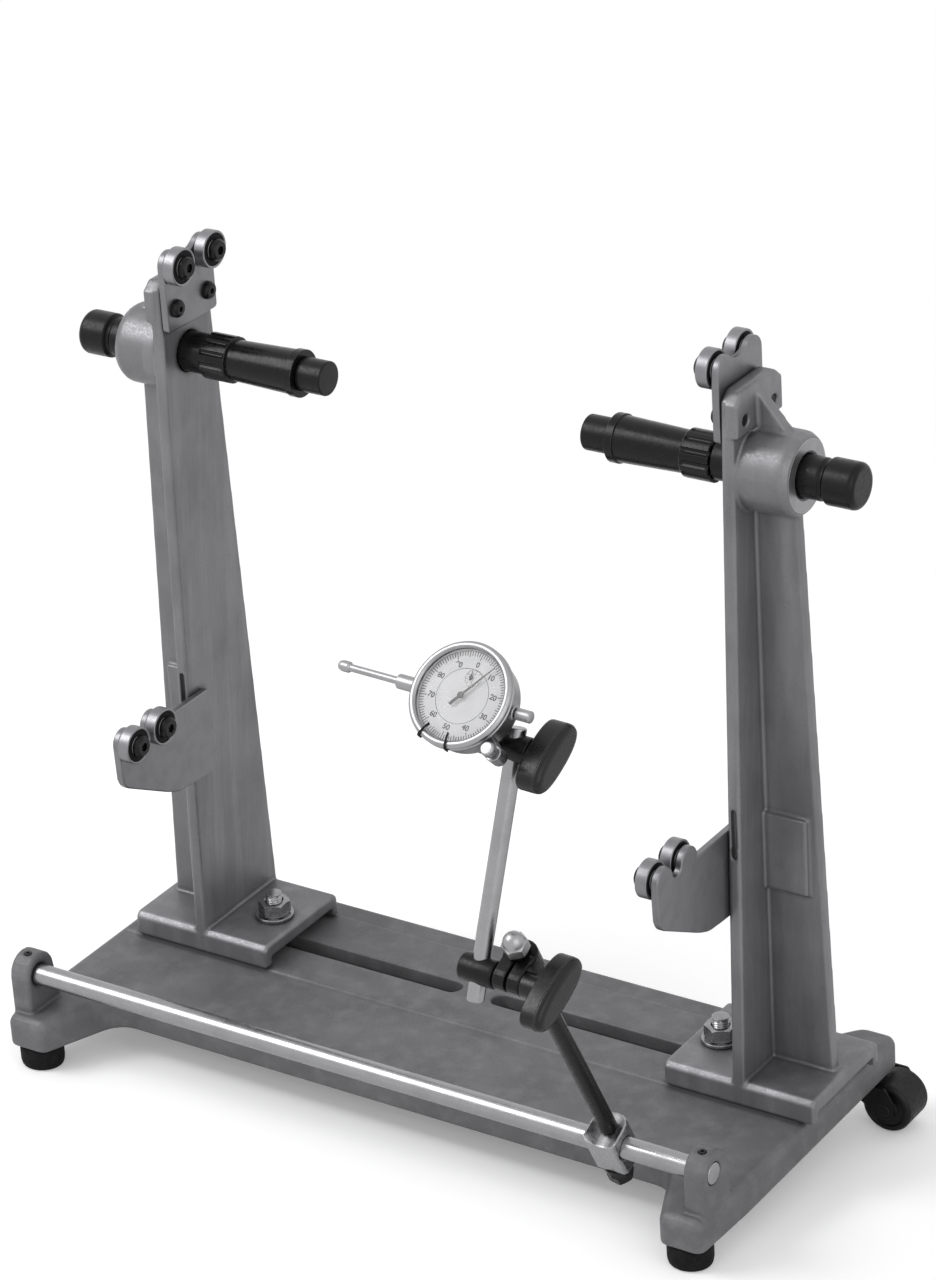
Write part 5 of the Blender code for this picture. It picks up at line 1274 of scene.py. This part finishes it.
def knob_shape(size, boss_start, screw_end, groove):
    """Oval knob with a line round it near its face, its boss and its screw, along X. Its size is
    where it starts and ends, and its length."""
    start, end, long_way = size
    sunk = 1 - groove * 100
    rows = np.array([(start, 0.78), (start + 0.0003, 0.90), (start + 0.0010, 0.975),
                     (start + 0.0022, 1.0), (end - 0.0046, 1.0), (end - 0.0043, sunk),
                     (end - 0.0039, sunk), (end - 0.0036, 0.995), (end - 0.0020, 0.955),
                     (end - 0.0008, 0.86), (end - 0.0002, 0.70), (end, 0.50)])
    line = along((0, 0, 0), (1, 0, 0))
    boss = round_bar(KNOB_BOSS_RADIUS, boss_start, start + 0.002, 0.0005, 56)
    screw = round_bar(0.0030, screw_end, boss_start + 0.002, 0.0003, 32)
    return joined(oval(long_way, OVAL_WIDTH, rows), moved(boss, line), moved(screw, line))


class STAND_OT_swivels(bpy.types.Operator):
    """Split clamp, barrels and oval knobs of the holder"""
    bl_idname = "stand.swivels"
    bl_label = "Swivel clamps and knobs"

    def execute(self, context):
        groove = context.scene.stand_fittings.knob_groove
        swivel, grip = HOLDER["swivel"], HOLDER["grip"]
        line = along((0, 0, 0), (1, 0, 0))
        mesh = softened("lower_clamp", swivel, 0.0004, 3, share=0.5)
        dressed("split_clamp", mesh, "black_oxide", "lower_clamp", ["lower_clamp"], sharp=60,
                weighted=False)
        bar = round_bar(BARREL_RADIUS, -0.0300, -0.0088, 0.0014, 72)
        cross = along(swivel @ Vector((-POST_OFFSET, 0, 0)), axis("post_slide"))
        hole = round_bar(POST_RADIUS + GAP, -0.02, 0.02, 0.0, 64)
        mesh = bored("barrel", moved(bar, swivel @ line), moved(hole, cross))
        dressed("lower_barrel_body", mesh, "black_oxide", "lower_barrel", ["lower_barrel"],
                weighted=False)
        knob = knob_shape(LOWER_KNOB, 0.0088, -0.01425, groove)
        made("lower_knob_oval", moved(knob, swivel), "black_plastic", "lower_knob", ["lower_knob"])
        left = LUG_PLACE - LUG_HALF - GAP
        right = LUG_PLACE + LUG_HALF + GAP
        body = spun([(0, left - 0.0025), (0.0052, left - 0.0025), (0.0052, left), (0.0028, left),
                     (0.0028, right), (0.0076, right), (0.0076, 0.0105), (0, 0.0105)], 0.0011, 72)
        mesh = bored("upper_barrel", moved(body, grip @ line), moved(hole, grip))
        dressed("upper_clamp_body", mesh, "black_oxide", "upper_clamp", ["upper_clamp"], weighted=False)
        knob = knob_shape(UPPER_KNOB, 0.0108, 0.00545, groove)
        turned_grip = grip @ Matrix.Rotation(math.radians(UPPER_KNOB_TURN), 4, "X")
        made("upper_knob_oval", moved(knob, turned_grip), "black_plastic", "upper_knob", ["upper_knob"])
        return {"FINISHED"}


# ---- Dial indicator ----

class STAND_OT_dial_body(bpy.types.Operator):
    """Dial case with its stem, tube and lug, its rim, lock screw and sprung plunger"""
    bl_idname = "stand.dial_body"
    bl_label = "Dial case, rim and plunger"

    def execute(self, context):
        dial = HOLDER["dial"]
        line = Matrix.Translation((0, 0, -STEM_DEPTH)) @ along((0, 0, 0), (1, 0, 0))
        neck = BEZEL_RADIUS - 0.0033
        case = spun([(0, -CASE_DEPTH), (0.0212, -CASE_DEPTH), (0.0214, -CASE_DEPTH + 0.0008),
                     (0.0246, -CASE_DEPTH + 0.0010), (CASE_RADIUS, -CASE_DEPTH + 0.0032),
                     (CASE_RADIUS, -BEZEL_DEPTH - GAP), (neck, -BEZEL_DEPTH - GAP),
                     (neck, -FACE_DEPTH), (0, -FACE_DEPTH)], 0.0009, 128)
        collar = round_bar(0.0058, -0.0285, -0.0240, 0.0006, 48)
        stem = pipe(0.0023, 0.0040, -0.0420, -0.0200, 0.0006, 56)
        tube = pipe(0.0023, 0.0040, 0.0200, 0.0300, 0.0006, 56)
        lug = slab(np.concatenate([arc((-LUG_BELOW, -LUG_DEPTH), 0.0060, 180, 360, 20),
                                   [(-LUG_BELOW + 0.0060, -CASE_DEPTH + 0.003),
                                    (-LUG_BELOW - 0.0060, -CASE_DEPTH + 0.003)]]),
                   -LUG_HALF, LUG_HALF, 0.0006, order="ZXY")
        spoke = Matrix.Rotation(math.radians(LOCK_ANGLE), 4, "Z")
        boss = round_bar(0.0045, -0.0180, -0.0086, 0.0006, 48)
        web = eased([(0.0225, -0.0035), (0.0340, -0.0035), (0.0340, 0.0035), (0.0225, 0.0035)], 0.0008)
        web = slab(web, -0.0170, -0.0090, 0.0006)
        shape = joined(case, moved(joined(collar, stem, tube), line), lug,
                       moved(boss, spoke @ Matrix.Translation((LOCK_ORBIT, 0, 0))), moved(web, spoke))
        made("dial_body", moved(shape, dial), "satin_chrome", "dial", ["dial_case"], slot="satin_alloy")
        inner = BEZEL_RADIUS - 0.0030
        rim = spun([(inner, -BEZEL_DEPTH), (BEZEL_RADIUS, -BEZEL_DEPTH), (BEZEL_RADIUS, -0.0044),
                    (BEZEL_RADIUS - 0.0005, -0.0040), (BEZEL_RADIUS - 0.0005, -0.0030),
                    (BEZEL_RADIUS, -0.0026), (BEZEL_RADIUS, -0.0014), (BEZEL_RADIUS - 0.0014, 0),
                    (BEZEL_OPENING + 0.0012, 0), (BEZEL_OPENING, -0.0015), (inner, -0.0015)], 0.0006, 160)
        made("dial_rim", moved(rim, dial), "satin_chrome", "dial_bezel", ["dial_bezel"])
        crown = spun([(0, -0.0083), (0.0024, -0.0083), (0.0024, -0.0064), (0.0039, -0.0060),
                      (0.0039, -0.0018), (0.0032, -0.0010), (0, -0.0010)], 0.0005, 96,
                     lambda radius, height, angle: (radius - 0.00022 * (radius > 0.0036)
                                                    * (0.5 + 0.5 * np.cos(24 * angle)), height))
        made("rim_lock_screw",
             moved(crown, axes(place("bezel_lock_turn"), axis("plunger_slide"), axis("bezel_lock_turn"))),
             "satin_chrome", "bezel_lock", ["bezel_lock"])
        rod = spun([(0, -0.0800), (0.0013, -0.0797), (0.0024, -0.0788), (0.0030, -0.0768),
                    (0.0030, -0.0730), (0.0024, -0.0724), (0.0020, -0.0720), (0.0020, 0.0308),
                    (0.00325, 0.0308),
                    (0.00325, 0.0390), (0.0026, 0.0395), (0, 0.0395)], 0.0004, 56)
        made("plunger_rod", moved(rod, dial @ line), "satin_chrome", "plunger", ["plunger"])
        return {"FINISHED"}


def marks(count, inner, outer, width):
    """Flat radial marks: each is a strip between two radii, turned by its share of a full turn."""
    angle = np.linspace(0, 2 * np.pi, count, endpoint=False)[:, None]
    inner, outer = inner + np.zeros(count), outer + np.zeros(count)
    radius = np.stack([inner, outer, outer, inner], -1)
    side = np.array([-0.5, -0.5, 0.5, 0.5])[None, :] * width
    x = radius * np.sin(angle) + side * np.cos(angle)
    y = radius * np.cos(angle) - side * np.sin(angle)
    points = np.stack([x, y, 0 * x], -1).reshape(-1, 3)
    return points, np.arange(count * 4).reshape(-1, 4).tolist()


def circle_line(radius, width, centre=(0, 0), sides=96):
    """Flat ring line."""
    points = lathe([(radius - width / 2, 0), (radius + width / 2, 0)], sides)[0]
    return points + (*centre, 0), ring_faces(2, sides)


def words(text, size, centre):
    """Flat lettering as a shape: the font's outline filled, centred and placed."""
    curve = bpy.data.curves.new("words", "FONT")
    curve.body = text
    curve.size = size
    curve.align_x = "CENTER"
    curve.align_y = "CENTER"
    curve.offset = size * 0.03
    mesh = applied(linked("words", curve))
    points = np.zeros(len(mesh.vertices) * 3)
    mesh.vertices.foreach_get("co", points)
    points = points.reshape(-1, 3)
    faces = [list(polygon.vertices) for polygon in mesh.polygons]
    return points * (1, 1, 0) + (*centre, 0), faces


class STAND_OT_dial_face(bpy.types.Operator):
    """Printed dial with its hands, range markers and crystal"""
    bl_idname = "stand.dial_face"
    bl_label = "Dial face"

    def execute(self, context):
        look = context.scene.stand_dial
        dial = HOLDER["dial"]
        top = -FACE_DEPTH + 0.00008
        face = round_bar(CARD_RADIUS, top - GAP, top, 0.00005, 128)
        made("dial_card", moved(face, dial), "dial_paint", "dial", slot="satin_alloy")
        index = np.arange(look.divisions)
        inner = np.where(index % 10 == 0, TEN_START, np.where(index % 5 == 0, FIVE_START, ONE_START))
        prints = [marks(look.divisions, inner, MARK_END, MARK_WIDTH), circle_line(INNER_LINE, 0.00026),
                  circle_line(OUTER_LINE, 0.00024), circle_line(0.0047, 0.00022, COUNTER_SPOT, 48)]
        small = marks(10, 0.0034, 0.0044, 0.00022)
        prints.append((small[0] + (*COUNTER_SPOT, 0), small[1]))
        step = look.divisions // 10
        for number in range(10):
            angle = 2 * math.pi * number / 10
            centre = (NUMBER_ORBIT * math.sin(angle), NUMBER_ORBIT * math.cos(angle))
            prints.append(words(str(number * step), look.numeral, centre))
        for number in (0, 5):
            angle = 2 * math.pi * number / 10
            centre = (COUNTER_SPOT[0] + 0.0025 * math.sin(angle),
                      COUNTER_SPOT[1] + 0.0025 * math.cos(angle))
            prints.append(words(str(number), 0.0012, centre))
        scale = dial @ Matrix.Rotation(look.turn, 4, "Z") @ Matrix.Translation((0, 0, top + 0.00003))
        made("dial_print", moved(joined(*prints), scale), "dial_ink", "dial", slot="", weighted=False)
        low = -FACE_DEPTH
        for name, node, joint, extra, reach, tail, width, hub, lift in (
                ("dial_hand", "dial_needle", "needle_turn", 0.0, 0.0225, 0.0075, 0.0009, 0.0018, 0.0018),
                ("counter_hand", "counter_needle", "counter_turn", COUNTER_ANGLE, 0.0034, 0.0017, 0.0006,
                 0.0009, 0.0006)):
            blade = slab([(-tail, -width), (-tail * 0.9, -width), (reach, -width * 0.22),
                          (reach, width * 0.22), (-tail * 0.9, width), (-tail, width)],
                         low + lift, low + lift + 0.0003, 0.00008, 2)
            cap = spun([(0, low + lift - 0.0001), (hub, low + lift - 0.0001), (hub, low + lift + 0.0006),
                        (hub * 0.6, low + lift + 0.00075), (0, low + lift + 0.00075)], 0.0002, 40)
            home = axes(place(joint), axis("plunger_slide"), axis("bezel_turn"))
            home = home @ Matrix.Rotation(math.radians(HAND_ANGLE + extra), 4, "Z")
            arbor = round_bar(0.0007, low - 0.0005, low + lift, 0.0, 24)
            made(name, moved(joined(blade, cap, arbor), home), "dial_ink", node, [node],
                 slot="black_oxide")
        span = np.linspace(0, 1, 13)[:, None]
        clips = []
        for angle in MARKER_ANGLES:
            heading = np.array([math.cos(math.radians(angle)), math.sin(math.radians(angle)), 0])
            radius = np.interp(span, [0, 0.35, 0.45, 0.75, 1], [0.0294, 0.0294, 0.0285, 0.0243, 0.0212])
            level = np.interp(span, [0, 0.35, 0.45, 0.75, 1], [-0.0046, -0.0006, 0.0004, 0.0005, -0.0002])
            path = heading[None] * radius + np.array([[0, 0, 1.0]]) * level
            section = eased([(-0.0009, -0.0002), (0.0009, -0.0002), (0.0009, 0.0002), (-0.0009, 0.0002)],
                            0.0001, 2)
            clips.append(swept(path, section))
        made("range_markers", moved(joined(*clips), dial), "black_oxide", "dial_bezel")
        dome = [(0, -0.0004), (0.008, -0.00045), (0.016, -0.0007), (0.0225, -0.0011), (0.0249, -0.0014),
                (0.0249, -0.0018), (0.0225, -0.0015), (0.016, -0.0011), (0.008, -0.00085), (0, -0.0008)]
        made("crystal_lens", moved(lathe(eased(dome, 0.002, 3, closed=False), 96), dial), "crystal",
             "dial_bezel", slot="")
        return {"FINISHED"}


# ---- Stage ----

class STAND_OT_stage(bpy.types.Operator):
    """Floor, soft lights, even sky and the camera"""
    bl_idname = "stand.stage"
    bl_label = "Stage"

    def execute(self, context):
        look = context.scene.stand_stage
        scene = context.scene
        scene.view_settings.view_transform = "Standard"
        span = np.linspace(-FLOOR_HALF, FLOOR_HALF, 9)
        grid = np.stack(np.meshgrid(span, span, indexing="xy"), -1).reshape(-1, 2)
        points = np.column_stack([grid, np.zeros(len(grid))])
        mesh = mesh_of("floor", (points, ring_faces(9, 9, wrap_columns=False)))
        floor = linked("floor", mesh)
        paper = bpy.data.materials.new("pale_floor")
        paper.use_nodes = True
        shader = paper.node_tree.nodes["Principled BSDF"]
        shader.inputs["Base Color"].default_value = linear("#f4f4f4")
        shader.inputs["Roughness"].default_value = 0.9
        shader.inputs["Emission Color"].default_value = (1, 1, 1, 1)
        seen = add_node(paper.node_tree, "ShaderNodeLightPath").outputs["Is Camera Ray"]
        glow = add_node(paper.node_tree, "ShaderNodeMath", {0: seen, 1: look.glow}, operation="MULTIPLY")
        paper.node_tree.links.new(glow.outputs[0], shader.inputs["Emission Strength"])
        spot = add_node(paper.node_tree, "ShaderNodeTexCoord").outputs["Object"]
        far = add_node(paper.node_tree, "ShaderNodeVectorMath", {0: spot}, operation="LENGTH")
        fade = add_node(paper.node_tree, "ShaderNodeMapRange",
                        {"Value": far.outputs["Value"], "From Min": FADE_START, "From Max": FADE_END,
                         "To Min": 1.0, "To Max": 0.0})
        paper.node_tree.links.new(fade.outputs["Result"], shader.inputs["Alpha"])
        mesh.materials.append(paper)
        world = bpy.data.worlds.new("sky")
        scene.world = world
        world.use_nodes = True
        tree = world.node_tree
        tree.nodes.clear()
        path = add_node(tree, "ShaderNodeLightPath")
        seen = path.outputs["Is Camera Ray"]
        for ray in ("Is Glossy Ray", "Is Transmission Ray"):
            seen = add_node(tree, "ShaderNodeMath", {0: seen, 1: path.outputs[ray]},
                            operation="MAXIMUM").outputs[0]
        even = add_node(tree, "ShaderNodeBackground", {"Color": (1, 1, 1, 1), "Strength": look.sky})
        white = add_node(tree, "ShaderNodeBackground", {"Color": (1, 1, 1, 1), "Strength": 1.0})
        mixed = add_node(tree, "ShaderNodeMixShader",
                         {0: seen, 1: even.outputs[0], 2: white.outputs[0]})
        out = add_node(tree, "ShaderNodeOutputWorld")
        tree.links.new(mixed.outputs[0], out.inputs["Surface"])
        for name, (size, spot) in LAMPS.items():
            lamp = bpy.data.lights.new(name + "_light", "AREA")
            lamp.energy = getattr(look, name)
            lamp.size = size
            holder = linked(name + "_light", lamp)
            holder.location = spot
            aim = Vector(LIT_POINT) - Vector(spot)
            holder.rotation_euler = aim.to_track_quat("-Z", "Y").to_euler()
        camera = linked("camera", bpy.data.cameras.new("camera"))
        azimuth, rise, roll = (math.radians(value) for value in CAMERA_ANGLES)
        back = Vector((math.sin(azimuth) * math.cos(rise), -math.cos(azimuth) * math.cos(rise),
                       math.sin(rise)))
        level = Vector((math.cos(azimuth), math.sin(azimuth), 0))
        upright = back.cross(level)
        right = level * math.cos(roll) + upright * math.sin(roll)
        raised = -level * math.sin(roll) + upright * math.cos(roll)
        pose = Matrix((right, raised, back)).transposed().to_4x4()
        pose.translation = Vector(CAMERA_TARGET) + back * CAMERA_DISTANCE
        camera.matrix_world = STAND @ pose
        camera.data.lens = CAMERA_FOCUS * SENSOR / PICTURE_HEIGHT
        camera.data.sensor_width = SENSOR
        camera.data.clip_end = 20
        scene.camera = camera
        return {"FINISHED"}


class STAND_PT_panel(bpy.types.Panel):
    """Sizes, colours and pieces of the truing stand"""
    bl_idname = "STAND_PT_panel"
    bl_label = "Truing stand"
    bl_space_type = "VIEW_3D"
    bl_region_type = "UI"
    bl_category = "Truing stand"

    def draw(self, context):
        for name in GROUPS:
            group = getattr(context.scene, name)
            box = self.layout.box()
            for key in group.__annotations__:
                box.prop(group, key)
        for operator in OPERATORS:
            self.layout.operator(operator.bl_idname)


GROUPS = {"stand_castings": StandCastings, "stand_fittings": StandFittings, "stand_dial": StandDial,
          "stand_colours": StandColours, "stand_stage": StandStage}
OPERATORS = (STAND_OT_base, STAND_OT_uprights, STAND_OT_rods, STAND_OT_feet, STAND_OT_casters,
             STAND_OT_fasteners, STAND_OT_spindles, STAND_OT_seats, STAND_OT_rollers, STAND_OT_screws,
             STAND_OT_rail_clamp, STAND_OT_swivels, STAND_OT_dial_body, STAND_OT_dial_face,
             STAND_OT_stage)


def register():
    """Register the settings, the operators and the panel."""
    for group in GROUPS.values():
        bpy.utils.register_class(group)
    for name, group in GROUPS.items():
        setattr(bpy.types.Scene, name, bpy.props.PointerProperty(type=group))
    for item in (*OPERATORS, STAND_PT_panel):
        bpy.utils.register_class(item)


def unregister():
    """Take everything back out."""
    for item in reversed((*OPERATORS, STAND_PT_panel)):
        bpy.utils.unregister_class(item)
    for name in GROUPS:
        delattr(bpy.types.Scene, name)
    for group in reversed(list(GROUPS.values())):
        bpy.utils.unregister_class(group)


def main():
    """Make every piece and the stage."""
    register()
    for operator in OPERATORS:
        getattr(bpy.ops.stand, operator.bl_idname.split(".")[1])()


if __name__ == "__main__":
    main()
